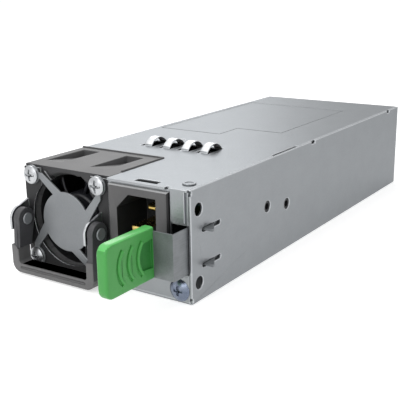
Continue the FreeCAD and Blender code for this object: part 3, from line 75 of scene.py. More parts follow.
finishes = {
    # hot-dip zinc-coated sheet: cool satin grey with a soft cloudy coating and fine rolling lines
    "zincSheet": dict(light="#9a9da0", dark="#95989b", metallic=0.9, rough=(0.38, 0.42), edgeTint="#c2c3c4",
                      cloudMm=7.0, grainMm=0.7, bump=0.24, stretch=(1, 2, 1)),
    # stamped steel plated dull nickel: a smooth pale grey disc
    "platedStamping": dict(light="#8c8f92", dark="#838689", metallic=0.45, rough=(0.34, 0.42),
                           cloudMm=14.0, grainMm=0.5, bump=0.04),
    # rolled spring strip: cold satin grey, fine lines along the strip
    "springStrip": dict(light="#8a8d90", dark="#76797c", metallic=0.65, rough=(0.44, 0.56),
                        cloudMm=5.0, grainMm=0.35, bump=0.08, stretch=(1, 14, 1)),
    # painted highlight: the same sheet along its broken edges, a thin paler line where the edges catch the
    # light
    "rubbedSheet": dict(light="#bcbfc2", dark="#b0b3b6", metallic=0.9, rough=(0.36, 0.42),
                        cloudMm=7.0, grainMm=0.7, bump=0.06),
    # the same sheet in the shade of a pressed step
    "shadedSheet": dict(light="#74777a", dark="#6c6f72", metallic=0.9, rough=(0.42, 0.48),
                        cloudMm=7.0, grainMm=0.7, bump=0.15),
    # painted highlight: the same sheet on the raised fingers of the cover, which tilt towards the light, near
    # white
    "formedSheet": dict(light="#e4e6e8", dark="#d6d8da", metallic=0.8, rough=(0.40, 0.46),
                        cloudMm=4.0, grainMm=0.35, bump=0.06),
    # bright nickel plating: mirror-like, slightly warm
    "brightNickel": dict(light="#c9c9c6", dark="#b6b6b3", metallic=1.0, rough=(0.16, 0.26),
                         cloudMm=3.0, grainMm=0.3, bump=0.02),
    # clear zinc plate on the fan screws: bright, a little milky
    "zincPlate": dict(light="#c2c4c6", dark="#adafb2", metallic=1.0, rough=(0.24, 0.36),
                      cloudMm=2.0, grainMm=0.25, bump=0.04),
    # blue passivated zinc on the small front screw: bright with a cold tint
    "passivatedZinc": dict(light="#848c9c", dark="#697284", metallic=1.0, rough=(0.20, 0.32),
                           cloudMm=2.0, grainMm=0.25, bump=0.04),
    # rivet coloured near black, so that it reads as a dark round spot in the wall
    "blackOxide": dict(light="#2c2d2f", dark="#222325", metallic=0.6, rough=(0.42, 0.55),
                       cloudMm=2.0, grainMm=0.25, bump=0.05),
    # moulded fan frame, glass-filled polyester with a spark texture: dull dark grey
    "fanPolyester": dict(light="#5a5a5b", dark="#515152", metallic=0.0, rough=(0.50, 0.62),
                         cloudMm=10.0, grainMm=0.40, bump=0.14),
    # the front of the same frame, in the shade of the guard: nearly black
    "shadedPolyester": dict(light="#333335", dark="#2b2b2d", metallic=0.0, rough=(0.50, 0.62),
                            cloudMm=10.0, grainMm=0.40, bump=0.14),
    # painted shade: near black and dull, on the unlit inner walls of the fan and the inlet, the inlet's right
    # side, the bracket behind the guard and the handle's trough
    "boreBlack": dict(light="#1c1c1e", dark="#161617", metallic=0.0, rough=(0.55, 0.66),
                      cloudMm=8.0, grainMm=0.4, bump=0.08),
    # glossier black polyester of the blades: thin highlights along the edges
    "bladePolyester": dict(light="#2b2c31", dark="#232428", metallic=0.0, rough=(0.28, 0.38),
                           cloudMm=6.0, grainMm=0.4, bump=0.04),
    # moulded handle nylon: mid grey, satin, fine texture
    "handleNylon": dict(light="#706f70", dark="#666566", metallic=0.0, rough=(0.42, 0.54),
                        cloudMm=8.0, grainMm=0.35, bump=0.12),
    # painted shade: the same nylon round the knuckles, darker
    "shadedNylon": dict(light="#4a4a4d", dark="#414144", metallic=0.0, rough=(0.42, 0.54),
                        cloudMm=8.0, grainMm=0.35, bump=0.12),
    # flame-proof nylon of the inlet: dark grey with a slight sheen
    "inletNylon": dict(light="#5e5d5e", dark="#555456", metallic=0.0, rough=(0.38, 0.50),
                       cloudMm=8.0, grainMm=0.35, bump=0.09),
    # painted highlight: the same nylon on the upward faces of the bezel, a pale grey line
    "rubbedNylon": dict(light="#a9aaab", dark="#9c9d9e", metallic=0.0, rough=(0.30, 0.42),
                        cloudMm=8.0, grainMm=0.35, bump=0.05),
    # dyed nylon of the release tab: clear green with soft highlights
    "greenNylon": dict(light="#4fae52", dark="#46a34a", metallic=0.0, rough=(0.32, 0.42),
                       cloudMm=9.0, grainMm=0.35, bump=0.06),
    # painted highlight: the same nylon on the upward faces of the tab, which catch the light
    "rubbedGreen": dict(light="#70d975", dark="#64cc69", metallic=0.0, rough=(0.26, 0.36),
                        cloudMm=6.0, grainMm=0.35, bump=0.05),
    # the same nylon in the tab's hollows, where little light comes
    "shadedGreen": dict(light="#3a9140", dark="#318539", metallic=0.0, rough=(0.40, 0.50),
                        cloudMm=6.0, grainMm=0.35, bump=0.06),
    # bright brass contact pins
    "polishedBrass": dict(light="#d3bb76", dark="#bda25c", metallic=1.0, rough=(0.20, 0.32),
                          cloudMm=2.5, grainMm=0.3, bump=0.02),
    # hard gold on the card edge: warm and bright
    "hardGold": dict(light="#f0cd7a", dark="#e0b95f", metallic=1.0, rough=(0.18, 0.28),
                     cloudMm=2.0, grainMm=0.25, bump=0.01),
    # solder mask over laminate: deep green with a soft gloss and the weave under it
    "solderMask": dict(light="#1f6b3f", dark="#175632", metallic=0.0, rough=(0.22, 0.34),
                       cloudMm=3.0, grainMm=0.6, bump=0.06),
    # extruded aluminium: pale satin grey with drawn lines along the fins
    "extrudedAluminium": dict(light="#cfd0d1", dark="#b7b9bb", metallic=0.95, rough=(0.30, 0.44),
                              cloudMm=4.0, grainMm=0.3, bump=0.08, stretch=(1, 12, 1)),
    # sintered ferrite: near black, dull and slightly pitted
    "sinteredFerrite": dict(light="#303032", dark="#252527", metallic=0.0, rough=(0.62, 0.76),
                            cloudMm=3.0, grainMm=0.35, bump=0.20),
    # polyester tape round the winding: amber and glossy with lapped edges
    "polyesterTape": dict(light="#e0b93a", dark="#c89d2a", metallic=0.0, rough=(0.18, 0.30),
                          cloudMm=5.0, grainMm=0.5, bump=0.05),
    # enamelled copper wire: reddish brown, glossy
    "enamelledCopper": dict(light="#b4602c", dark="#964b20", metallic=0.75, rough=(0.20, 0.32),
                            cloudMm=2.0, grainMm=0.3, bump=0.03),
    # epoxy-coated ring core: pale blue-green, eggshell
    "coatedCore": dict(light="#4f7d7f", dark="#41696b", metallic=0.0, rough=(0.40, 0.52),
                       cloudMm=3.0, grainMm=0.3, bump=0.10),
    # shrink sleeve of a can capacitor: black-blue, soft gloss
    "shrinkSleeve": dict(light="#20242e", dark="#191c25", metallic=0.0, rough=(0.24, 0.34),
                         cloudMm=7.0, grainMm=0.4, bump=0.03),
    # drawn aluminium can top: bright, finely turned
    "drawnAluminium": dict(light="#d4d5d6", dark="#bfc0c2", metallic=1.0, rough=(0.24, 0.34),
                           cloudMm=3.0, grainMm=0.3, bump=0.04),
    # moulded box of a film capacitor: dull yellow plastic
    "mouldedBox": dict(light="#d8bd58", dark="#c6ab48", metallic=0.0, rough=(0.34, 0.44),
                       cloudMm=6.0, grainMm=0.4, bump=0.08),
    # polycarbonate film under the board: milky, faintly glossy
    "insulatingFilm": dict(light="#d6d6d0", dark="#c9c9c3", metallic=0.0, rough=(0.30, 0.42),
                           cloudMm=20.0, grainMm=0.8, bump=0.02),
    # laminated stator steel: dark grey with fine layers
    "laminatedSteel": dict(light="#74767a", dark="#5f6164", metallic=0.8, rough=(0.40, 0.55),
                           cloudMm=3.0, grainMm=0.35, bump=0.15, stretch=(12, 1, 12)),
}

# slow clouds and fine grain drive the colour and the roughness, and the grain drives the relief
textureValues = dict(cloudDetail=4.0, grainDetail=2.0, grainShare=0.5, mixLow=0.5, mixHigh=1.0,
                     reliefShare=0.5)


def makeFinish(name, light, dark, metallic, rough, cloudMm, grainMm, bump,
               stretch=(1, 1, 1), edgeTint="#ffffff"):
    material = bpy.data.materials.new(name)
    material.use_nodes = True
    tree = material.node_tree
    tree.nodes.clear()
    place = addNode(tree, "ShaderNodeTexCoord").outputs["Object"]
    turned = addNode(tree, "ShaderNodeMapping", inputs={"Vector": place, "Scale": [1 / s for s in stretch]})
    cloud = addNode(tree, "ShaderNodeTexNoise",
                    inputs={"Vector": place, "Scale": 1 / (cloudMm * mm),
                            "Detail": textureValues["cloudDetail"]})
    grain = addNode(tree, "ShaderNodeTexNoise",
                    inputs={"Vector": turned.outputs["Vector"], "Scale": 1 / (grainMm * mm),
                            "Detail": textureValues["grainDetail"]})
    mixed = maths(tree, "MULTIPLY_ADD", grain.outputs["Fac"], textureValues["grainShare"],
                  cloud.outputs["Fac"])
    spread = addNode(tree, "ShaderNodeMapRange",
                     inputs={"Value": mixed, "From Min": textureValues["mixLow"],
                             "From Max": textureValues["mixHigh"]})
    colour = addNode(tree, "ShaderNodeMix", {"data_type": "RGBA"},
                     {0: spread.outputs[0], 6: linear(dark), 7: linear(light)})
    roughness = addNode(tree, "ShaderNodeMapRange",
                        inputs={"Value": cloud.outputs["Fac"], "To Min": rough[0], "To Max": rough[1]})
    relief = addNode(tree, "ShaderNodeBump",
                     inputs={"Height": grain.outputs["Fac"], "Strength": bump,
                             "Distance": grainMm * mm * textureValues["reliefShare"]})
    shader = addNode(tree, "ShaderNodeBsdfPrincipled",
                     inputs={"Base Color": colour.outputs[2], "Metallic": metallic,
                             "Roughness": roughness.outputs[0], "Normal": relief.outputs[0],
                             "Specular Tint": linear(edgeTint)})
    addNode(tree, "ShaderNodeOutputMaterial", inputs={"Surface": shader.outputs[0]})
    return material


materials = {name: makeFinish(name, **values) for name, values in finishes.items()}
print("stage: finishes made,", len(materials))

slotFinish = {
    "galvanised_steel": "zincSheet", "guard_steel": "platedStamping", "fan_plastic": "fanPolyester",
    "impeller_plastic": "bladePolyester", "shaft_steel": "brightNickel", "motor_steel": "laminatedSteel",
    "handle_plastic": "handleNylon", "inlet_plastic": "inletNylon", "pin_brass": "polishedBrass",
    "nickel": "brightNickel", "spring_steel": "springStrip", "latch_green": "greenNylon",
    "board_laminate": "solderMask", "contact_gold": "hardGold", "standoff_brass": "polishedBrass",
    "insulating_film": "insulatingFilm", "choke_coating": "coatedCore", "film_case": "mouldedBox",
    "capacitor_sleeve": "shrinkSleeve", "heatsink_aluminium": "extrudedAluminium",
    "ferrite": "sinteredFerrite", "winding_tape": "polyesterTape",
}
# nodes whose finish differs from that of their slot
nodeFinish = {
    "latch_rivet_front": "blackOxide", "latch_rivet_rear": "blackOxide", "cover_rivet": "zincSheet",
    "handle_pin_left": "platedStamping", "handle_pin_right": "platedStamping", "handle_bracket": "zincPlate",
}


def finishOf(name):
    return nodeFinish.get(name, slotFinish[recordSlots[name]])


for name, node in frame["nodes"].items():
    node.data.materials.clear()
    node.data.materials.append(materials[finishOf(name)])
print("stage: nodes painted")


def addPiece(name, mesh, finish, body, stands=()):
    # with no finish the mesh keeps the materials that it has
    piece = bpy.data.objects.new(name, mesh)
    scene.collection.objects.link(piece)
    if finish:
        piece.data.materials.clear()
        piece.data.materials.append(materials[finish])
    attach(piece, body)
    if stands:
        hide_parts(*stands)
    return piece


def softenEdges(piece, width, segments=2, angle=35):
    # rounds every edge that turns by more than the angle, the width in millimetres
    bevel = piece.modifiers.new("edges", "BEVEL")
    bevel.width = width * mm
    bevel.segments = segments
    bevel.limit_method = "ANGLE"
    bevel.angle_limit = math.radians(angle)
    bevel.use_clamp_overlap = False
    bevel.harden_normals = True
    return bevel


def meshFrom(name, work, smooth=False):
    for face in work.faces:
        face.smooth = smooth
    mesh = bpy.data.meshes.new(name)
    work.to_mesh(mesh)
    work.free()
    return mesh


def cutMesh(mesh, cutters):
    # takes the cutters' shapes out of the mesh and gives back a plain mesh
    block = bpy.data.objects.new("block", mesh)
    scene.collection.objects.link(block)
    tools = []
    for cutter in cutters:
        tool = bpy.data.objects.new("cutter", cutter)
        scene.collection.objects.link(tool)
        tools.append(tool)
        cut = block.modifiers.new("cut", "BOOLEAN")
        cut.object = tool
        cut.operation = "DIFFERENCE"
        cut.solver = "EXACT"
    result = bpy.data.meshes.new_from_object(block.evaluated_get(bpy.context.evaluated_depsgraph_get()))
    for spent in [block] + tools:
        bpy.data.objects.remove(spent)
    return result


# how far each node's edges are broken, in millimetres, and how finely
brokenEdges = {
    "base_chassis": (0.30, 3), "top_cover": (0.20, 2), "front_plate": (0.14, 2), "rear_panel": (0.12, 1),
    "fan_housing": (0.30, 2), "handle_bracket": (0.18, 2), "fan_guard": (0.22, 3), "pull_handle": (0.35, 3),
    "inlet_body": (0.25, 2), "latch_arm": (0.12, 2), "latch_anchor": (0.10, 1), "cover_rivet": (0.15, 2),
    "inlet_earth_pin": (0.2, 2), "inlet_line_pin": (0.2, 2), "inlet_neutral_pin": (0.2, 2),
    "handle_pin_left": (0.15, 2), "handle_pin_right": (0.15, 2), "main_board": (0.08, 1),
    "film_capacitor": (0.6, 3), "transformer_core": (0.4, 2), "transformer_winding": (0.3, 2),
    "primary_heatsink": (0.12, 1), "rectifier_heatsink": (0.12, 1),
}
# nodes whose broken edges carry a painted highlight, brighter than their faces
edgeHighlights = {"base_chassis": "rubbedSheet", "top_cover": "rubbedSheet", "front_plate": "rubbedSheet"}
# a trough along the top of the handle's bar, in millimetres
carvedBoxes = {"pull_handle": ((-32.4, -100.7, 1.5), (-1.7, -96.4, 5.0))}
# painted shade and painted highlight on some faces: a box round their middles in millimetres, the radius of
# the round opening that fills the box, and the way that the faces look, the last two only where they're given
paintedLightRegions = {
    "fan_housing": [
        dict(finish="boreBlack", low=(-33.6, -91.3, 3.15), high=(0.1, -60.5, 36.85), reach=16.85),
        dict(finish="shadedPolyester", low=(-36.9, -92.6, 0.0), high=(3.2, -91.0, 38.0), facing=(0, -1, 0))],
    "inlet_body": [
        dict(finish="boreBlack", low=(5.2, -93.9, 9.8), high=(27.4, -70.0, 36.0)),
        dict(finish="boreBlack", low=(27.5, -99.0, 3.0), high=(31.0, -91.0, 38.5), facing=(1, 0, 0)),
        dict(finish="rubbedNylon", low=(2.0, -99.0, 35.0), high=(31.0, -92.4, 39.0), facing=(0, 0, 1))],
    "handle_bracket": [dict(finish="boreBlack", low=(-36.6, -92.7, 1.0), high=(3.1, -92.3, 39.0))],
    "pull_handle": [
        dict(finish="shadedNylon", low=(-40.0, -105.0, 9.0), high=(5.0, -90.0, 28.0)),
        dict(finish="boreBlack", low=(-32.6, -100.7, 1.4), high=(-1.5, -96.3, 3.7))],
    "top_cover": [dict(finish="formedSheet", low=(-36.0, -60.0, 39.45), high=(36.0, -30.0, 43.0))],
}
# points nearer than merge millimetres become one, faces within flatAngle degrees become one, faces with at
# most so many corners and square millimetres are shaded smooth, and a face looks a given way when the cosine
# between its normal and that way is over facingShare
refineValues = dict(merge=0.001, flatAngle=2, smoothCorners=4, smoothArea=60, facingShare=0.5)


def boxMesh(name, corners):
    low, high = (Vector(corner) * mm for corner in corners)
    work = bmesh.new()
    bmesh.ops.create_cube(work, size=1, matrix=Matrix.LocRotScale((low + high) / 2, None, high - low))
    return meshFrom(name, work)


def paintRegion(mesh, finish, low, high, reach=0, facing=None):
    mesh.materials.append(materials[finish])
    for face in mesh.polygons:
        middle = face.center / mm
        chosen = all(low[i] < middle[i] < high[i] for i in range(3))
        if reach:
            chosen = chosen and math.hypot(middle.x - low[0] - reach, middle.z - low[2] - reach) < reach
        if facing:
            chosen = chosen and face.normal.dot(facing) > refineValues["facingShare"]
        if chosen:
            face.material_index = len(mesh.materials) - 1


def brokenEdgePiece(name, width, segments):
    # a merged copy of the node with its flat faces whole and every real edge rounded
    work = bmesh.new()
    work.from_mesh(frame["nodes"][name].data)
    bmesh.ops.remove_doubles(work, verts=work.verts, dist=refineValues["merge"] * mm)
    bmesh.ops.dissolve_limit(work, angle_limit=math.radians(refineValues["flatAngle"]), verts=work.verts,
                             edges=work.edges, delimit={"NORMAL"})
    mesh = meshFrom(name + "Finished", work)
    if name in carvedBoxes:
        mesh = cutMesh(mesh, [boxMesh(name + "Trough", carvedBoxes[name])])
    # the large flat faces stay flat, so no shade runs across them from a curved neighbour
    for face in mesh.polygons:
        small = face.area < refineValues["smoothArea"] * mm * mm
        face.use_smooth = len(face.vertices) <= refineValues["smoothCorners"] and small
    body = next(key for key, members in frame["record"]["behaviour"]["bodies"].items() if name in members)
    piece = addPiece(name + "Finished", mesh, finishOf(name), body, [name])
    # painted shade and painted highlight on the faces inside each region
    for region in paintedLightRegions.get(name, []):
        paintRegion(mesh, **region)
    bevel = softenEdges(piece, width, segments)
    # the bevel faces of these nodes carry the painted highlight
    if name in edgeHighlights:
        mesh.materials.append(materials[edgeHighlights[name]])
        bevel.material = len(mesh.materials) - 1


for name, (width, segments) in brokenEdges.items():
    brokenEdgePiece(name, width, segments)
print("stage: edges broken on", len(brokenEdges), "nodes")


def point(tree, x=0, y=0, z=0):
    return addNode(tree, "ShaderNodeCombineXYZ", inputs={"X": x, "Y": y, "Z": z}).outputs[0]


def moved(tree, geometry, by=(0, 0, 0), turned=(0, 0, 0)):
    return addNode(tree, "GeometryNodeTransform",
                   inputs={"Geometry": geometry, "Translation": by, "Rotation": turned}).outputs[0]


def mapped(tree, share, low, high):
    # a share of 0 to 1 becomes a number from low to high
    return addNode(tree, "ShaderNodeMapRange",
                   inputs={"Value": share, "To Min": low, "To Max": high}).outputs[0]


def wireRing(tree, radius, sides):
    return addNode(tree, "GeometryNodeCurvePrimitiveCircle",
                   inputs={"Radius": radius, "Resolution": sides}).outputs["Curve"]


def turnedCopies(tree, geometry, count, step, axis):
    # copies of the geometry in one place, each turned a step further about the axis
    places = addNode(tree, "GeometryNodeMeshLine", inputs={"Count": count, "Offset": (0, 0, 0)})
    turn = maths(tree, "MULTIPLY", addNode(tree, "GeometryNodeInputIndex").outputs[0], step)
    return addNode(tree, "GeometryNodeInstanceOnPoints",
                   inputs={"Points": places.outputs[0], "Instance": geometry,
                           "Rotation": point(tree, **{axis: turn})}).outputs[0]


def treeSettings(sizes, degrees=()):
    # millimetres become metres and degrees radians, a whole number is a count and stays
    settings = {}
    for name, size in sizes.items():
        if name in degrees:
            settings[name] = math.radians(size)
        else:
            settings[name] = size if isinstance(size, int) else size * mm
    return settings


def grownMesh(name, grow, settings, finish):
    # grow fills a node tree whose inputs are the settings, and the result is kept as a plain mesh
    tree = bpy.data.node_groups.new(name, "GeometryNodeTree")
    for key, setting in settings.items():
        kind = "NodeSocketInt" if isinstance(setting, int) else "NodeSocketFloat"
        tree.interface.new_socket(key, in_out="INPUT", socket_type=kind)
    tree.interface.new_socket("Geometry", in_out="OUTPUT", socket_type="NodeSocketGeometry")
    geometry = grow(tree, addNode(tree, "NodeGroupInput").outputs)
    real = addNode(tree, "GeometryNodeRealizeInstances", inputs={"Geometry": geometry})
    painted = addNode(tree, "GeometryNodeSetMaterial",
                      inputs={"Geometry": real.outputs[0], "Material": materials[finish]})
    addNode(tree, "NodeGroupOutput", inputs={"Geometry": painted.outputs[0]})
    grower = bpy.data.objects.new(name, bpy.data.meshes.new(name))
    scene.collection.objects.link(grower)
    modifier = grower.modifiers.new(name, "NODES")
    modifier.node_group = tree
    sockets = {item.name: item.identifier for item in tree.interface.items_tree if item.in_out == "INPUT"}
    for key, setting in settings.items():
        modifier[sockets[key]] = setting
    evaluated = grower.evaluated_get(bpy.context.evaluated_depsgraph_get())
    mesh = bpy.data.meshes.new_from_object(evaluated)
    mesh.name = name
    grower.modifiers.remove(modifier)
    bpy.data.objects.remove(grower)
    for face in mesh.polygons:
        face.use_smooth = True
    return mesh


def sortedMesh(mesh):
    # the same faces in the order of their points, since a boolean gives another order on each run
    points = [tuple(vertex.co) for vertex in mesh.vertices]
    order = sorted(range(len(points)), key=points.__getitem__)
    rank = {old: new for new, old in enumerate(order)}
    faces = []
    for face in mesh.polygons:
        corners = [rank[i] for i in face.vertices]
        first = corners.index(min(corners))
        faces.append(corners[first:] + corners[:first])
    name = mesh.name
    finish = next(material for material in mesh.materials if material)
    bpy.data.meshes.remove(mesh)
    mesh = bpy.data.meshes.new(name)
    mesh.from_pydata([points[i] for i in order], [], sorted(faces))
    mesh.materials.append(finish)
    for face in mesh.polygons:
        face.use_smooth = True
    return mesh


def bridge(work, rings):
    # faces between each ring of points and the next
    for lower, upper in zip(rings, rings[1:]):
        for i in range(len(lower)):
            after = (i + 1) % len(lower)
            work.faces.new((lower[i], lower[after], upper[after], upper[i]))


def turnedMesh(name, outlines, sides, axis):
    # closed outlines of (radius, height) in millimetres turned about the z or y axis at their own (x, y, z)
    weld = 0.0005 * mm
    work = bmesh.new()
    for outline, (x, y, z) in outlines:
        rings = []
        for radius, height in outline:
            ring = []
            for side in range(sides):
                turn = math.tau * side / sides
                if axis == "z":
                    spot = (x + radius * math.cos(turn), y + radius * math.sin(turn), z + height)
                else:
                    spot = (x + radius * math.cos(turn), y + height, z - radius * math.sin(turn))
                ring.append(work.verts.new([c * mm for c in spot]))
            rings.append(ring)
        bridge(work, rings + rings[:1])
    bmesh.ops.remove_doubles(work, verts=work.verts, dist=weld)
    bmesh.ops.dissolve_degenerate(work, edges=work.edges, dist=weld)
    bmesh.ops.recalc_face_normals(work, faces=work.faces)
    return meshFrom(name, work, smooth=True)


# four pan-head screws through the guard's eyes, and the smaller one low on the front plate; the barrel that
# trims each head is centred on its seat, and the smaller one's ends above the dome so that no slivers stay
screwSizes = {
    "fanScrews": dict(headRadius=3.3, headHeight=1.5, domeRadius=7.2, crossLength=3.9, crossWidth=0.75,
                      crossDepth=0.8, barrelLength=3.0, shankRadius=1.45, shankLength=10.0, pitch=31.0,
                      perSide=2, middleX=-16.75, middleY=-93.3, middleZ=20.0),
    "frontScrew": dict(headRadius=3.0, headHeight=1.4, domeRadius=6.4, crossLength=3.4, crossWidth=0.7,
                       crossDepth=0.7, barrelLength=3.5, shankRadius=1.3, shankLength=5.0, pitch=0.0,
                       perSide=1, middleX=31.75, middleY=-92.5, middleZ=4.4),
}
# shared by both kinds: the sides of their round parts, and the block that takes off the ball's lower part
screwShape = dict(headSides=40, domeSides=64, shankSides=24, blockSide=20.0, edgeWidth=0.12)


def growScrews(tree, given):
    barrel = addNode(tree, "GeometryNodeMeshCylinder",
                     inputs={"Vertices": screwShape["headSides"], "Radius": given["headRadius"],
                             "Depth": given["barrelLength"]})
    # the dome is the cap of a larger ball, whose middle lies below the seat
    ball = addNode(tree, "GeometryNodeMeshUVSphere",
                   inputs={"Segments": screwShape["domeSides"], "Rings": screwShape["domeSides"],
                           "Radius": given["domeRadius"]})
    ballHeight = maths(tree, "SUBTRACT", given["headHeight"], given["domeRadius"])
    dome = moved(tree, ball.outputs["Mesh"], by=point(tree, z=ballHeight))
    cap = addNode(tree, "GeometryNodeMeshBoolean", {"operation": "INTERSECT"},
                  {1: [dome, barrel.outputs["Mesh"]]})
    crossDeep = maths(tree, "MULTIPLY", given["crossDepth"], 2.0)
    crossSpan = point(tree, given["crossLength"], given["crossWidth"], crossDeep)
    wing = addNode(tree, "GeometryNodeMeshCube", inputs={"Size": crossSpan}).outputs["Mesh"]
    crown = point(tree, z=given["headHeight"])
    wings = [moved(tree, wing, by=crown, turned=(0, 0, turn)) for turn in (0, math.pi / 2)]
    side = screwShape["blockSide"] * mm
    block = addNode(tree, "GeometryNodeMeshCube", inputs={"Size": (side, side, side)}).outputs["Mesh"]
    head = addNode(tree, "GeometryNodeMeshBoolean", {"operation": "DIFFERENCE"},
                   {0: cap.outputs["Mesh"], 1: wings + [moved(tree, block, by=(0, 0, -side / 2))]})
    shank = addNode(tree, "GeometryNodeMeshCylinder",
                    inputs={"Vertices": screwShape["shankSides"], "Radius": given["shankRadius"],
                            "Depth": given["shankLength"]})
    shankHeight = maths(tree, "MULTIPLY", given["shankLength"], -0.5)
    shankLow = moved(tree, shank.outputs["Mesh"], by=point(tree, z=shankHeight))
    whole = addNode(tree, "GeometryNodeJoinGeometry", inputs={0: [head.outputs["Mesh"], shankLow]})
    corners = addNode(tree, "GeometryNodeMeshGrid",
                      inputs={"Size X": given["pitch"], "Size Y": given["pitch"],
                              "Vertices X": given["perSide"], "Vertices Y": given["perSide"]})
    placed = addNode(tree, "GeometryNodeInstanceOnPoints",
                     inputs={"Points": corners.outputs["Mesh"], "Instance": whole.outputs[0]})
    middle = point(tree, given["middleX"], given["middleY"], given["middleZ"])
    return moved(tree, placed.outputs[0], by=middle, turned=(math.pi / 2, 0, 0))


for name, finish, stands in (("fanScrews", "zincPlate", ["fan_screw_" + str(i) for i in range(1, 5)]),
                             ("frontScrew", "passivatedZinc", ["front_screw"])):
    mesh = sortedMesh(grownMesh(name, growScrews, treeSettings(screwSizes[name]), finish))
    screws = addPiece(name, mesh, None, "supply", stands)
    softenEdges(screws, screwShape["edgeWidth"], angle=40)
print("stage: screws made")

# fan rotor: seven swept blades that lean back towards the tip, on a cup-shaped hub
bladeSizes = dict(rootRadius=8.9, tipRadius=15.9, axialLength=16.0, rootTwist=30.0, tipTwist=52.0, bow=0.8,
                  front=-85.75, middleX=-16.75, middleZ=20.0, thickness=0.8, blades=7, spanPoints=13,
                  chordPoints=21)
# the shoulder runs through points that lie so far in from the rim and so far back from the front
hubSizes = dict(radius=9.5, front=-87.0, rear=-68.5, wall=1.2, fillet=0.6, sides=64, edgeWidth=0.15,
                shoulder=((1.6, 0.0), (0.8, 0.25), (0.192, 0.9), (0.0, 1.6)))


def growBlades(tree, given):
    # a flat sheet of 1 by 1 is laid along the span in x and along the chord in y, and then bent
    sheet = addNode(tree, "GeometryNodeMeshGrid",
                    inputs={"Size X": 1.0, "Size Y": 1.0, "Vertices X": given["spanPoints"],
                            "Vertices Y": given["chordPoints"]})
    flat = addNode(tree, "GeometryNodeInputPosition").outputs[0]
    spot = addNode(tree, "ShaderNodeSeparateXYZ", inputs={0: flat}).outputs
    span = maths(tree, "ADD", spot["X"], 0.5)
    chord = maths(tree, "ADD", spot["Y"], 0.5)
    radius = mapped(tree, span, given["rootRadius"], given["tipRadius"])
    slope = maths(tree, "TANGENT", mapped(tree, span, given["rootTwist"], given["tipTwist"]))
    along = maths(tree, "MULTIPLY", spot["Y"], given["axialLength"])
    # the blade's cross-section is an arc, highest halfway along the chord, where 4 * c * (1 - c) is 1
    hump = maths(tree, "MULTIPLY", chord, maths(tree, "SUBTRACT", 1.0, chord))
    crown = maths(tree, "MULTIPLY", maths(tree, "MULTIPLY", hump, given["bow"]), 4.0)
    shift = maths(tree, "MULTIPLY_ADD", along, slope, crown)
    angle = maths(tree, "DIVIDE", shift, radius)
    x = maths(tree, "MULTIPLY", maths(tree, "COSINE", angle), radius)
    y = maths(tree, "MULTIPLY_ADD", chord, given["axialLength"], given["front"])
    z = maths(tree, "MULTIPLY", maths(tree, "SINE", angle), radius)
    blade = addNode(tree, "GeometryNodeSetPosition",
                    inputs={"Geometry": sheet.outputs["Mesh"], "Position": point(tree, x, y, z)})
    share = maths(tree, "DIVIDE", math.tau, given["blades"])
    ring = turnedCopies(tree, blade.outputs[0], given["blades"], share, "y")
    return moved(tree, ring, by=point(tree, x=given["middleX"], z=given["middleZ"]))


def hubOutline(sizes):
    rim, wall, fillet = sizes["radius"], sizes["wall"], sizes["fillet"]
    inside, depth = rim - wall, sizes["rear"] - sizes["front"]
    shoulder = [(rim - inward, back) for inward, back in sizes["shoulder"]]
    return [(0, 0)] + shoulder + [(rim, depth), (inside, depth), (inside, wall + fillet),
                                  (inside - fillet, wall), (0, wall)]


settings = treeSettings(bladeSizes, ["rootTwist", "tipTwist"])
thickness = settings.pop("thickness")
mesh = grownMesh("fanBlades", growBlades, settings, "bladePolyester")
blades = addPiece("fanBlades", mesh, None, "fan_rotor")
shell = blades.modifiers.new("thickness", "SOLIDIFY")
shell.thickness = thickness
shell.offset = 0
place = (bladeSizes["middleX"], hubSizes["front"], bladeSizes["middleZ"])
mesh = turnedMesh("fanHub", [(hubOutline(hubSizes), place)], hubSizes["sides"], "y")
hub = addPiece("fanHub", mesh, "bladePolyester", "fan_rotor", ["fan_impeller"])
softenEdges(hub, hubSizes["edgeWidth"])
print("stage: fan rotor made")

# release tab: a rounded slab with a thumb pocket at its root and three crescent ridges; its faces with
# painted highlight lie above topFrom and their normals point up by more than topShare
tabSizes = dict(inner=23.55, outer=27.55, tip=-123.5, root=-100.1, low=10.2, high=27.8, cornerRadius=3.2,
                cornerSteps=6, edgeRadius=0.9, edgeSteps=5, edgeWidth=0.18, topFrom=24.8, topShare=0.6)
ridgeSizes = dict(radius=7.2, firstY=-110.4, pitch=4.7, middleZ=19.0, halfAngle=46.0, wireRadius=0.62,
                  face=tabSizes["outer"] - 0.1, ridges=3, arcPoints=33, wireSides=16)
# the share of its bulge from which a ridge has its full width, and its share of width at the ends
ridgeTaper = dict(fullFrom=0.6, tip=0.15)
# a narrow channel runs along the tip side of each ridge
channelSizes = dict(ridgeSizes, radius=8.05, wireRadius=0.45, face=tabSizes["outer"])
# the pocket starts at the third ridge and ends just short of the root, where it widens
pocketSizes = dict(centreY=-101.0, middleZ=19.0, radius=6.8, halfAngle=40.0, steps=12, end=-100.7, flare=0.5,
                   floor=26.65, above=29.55)


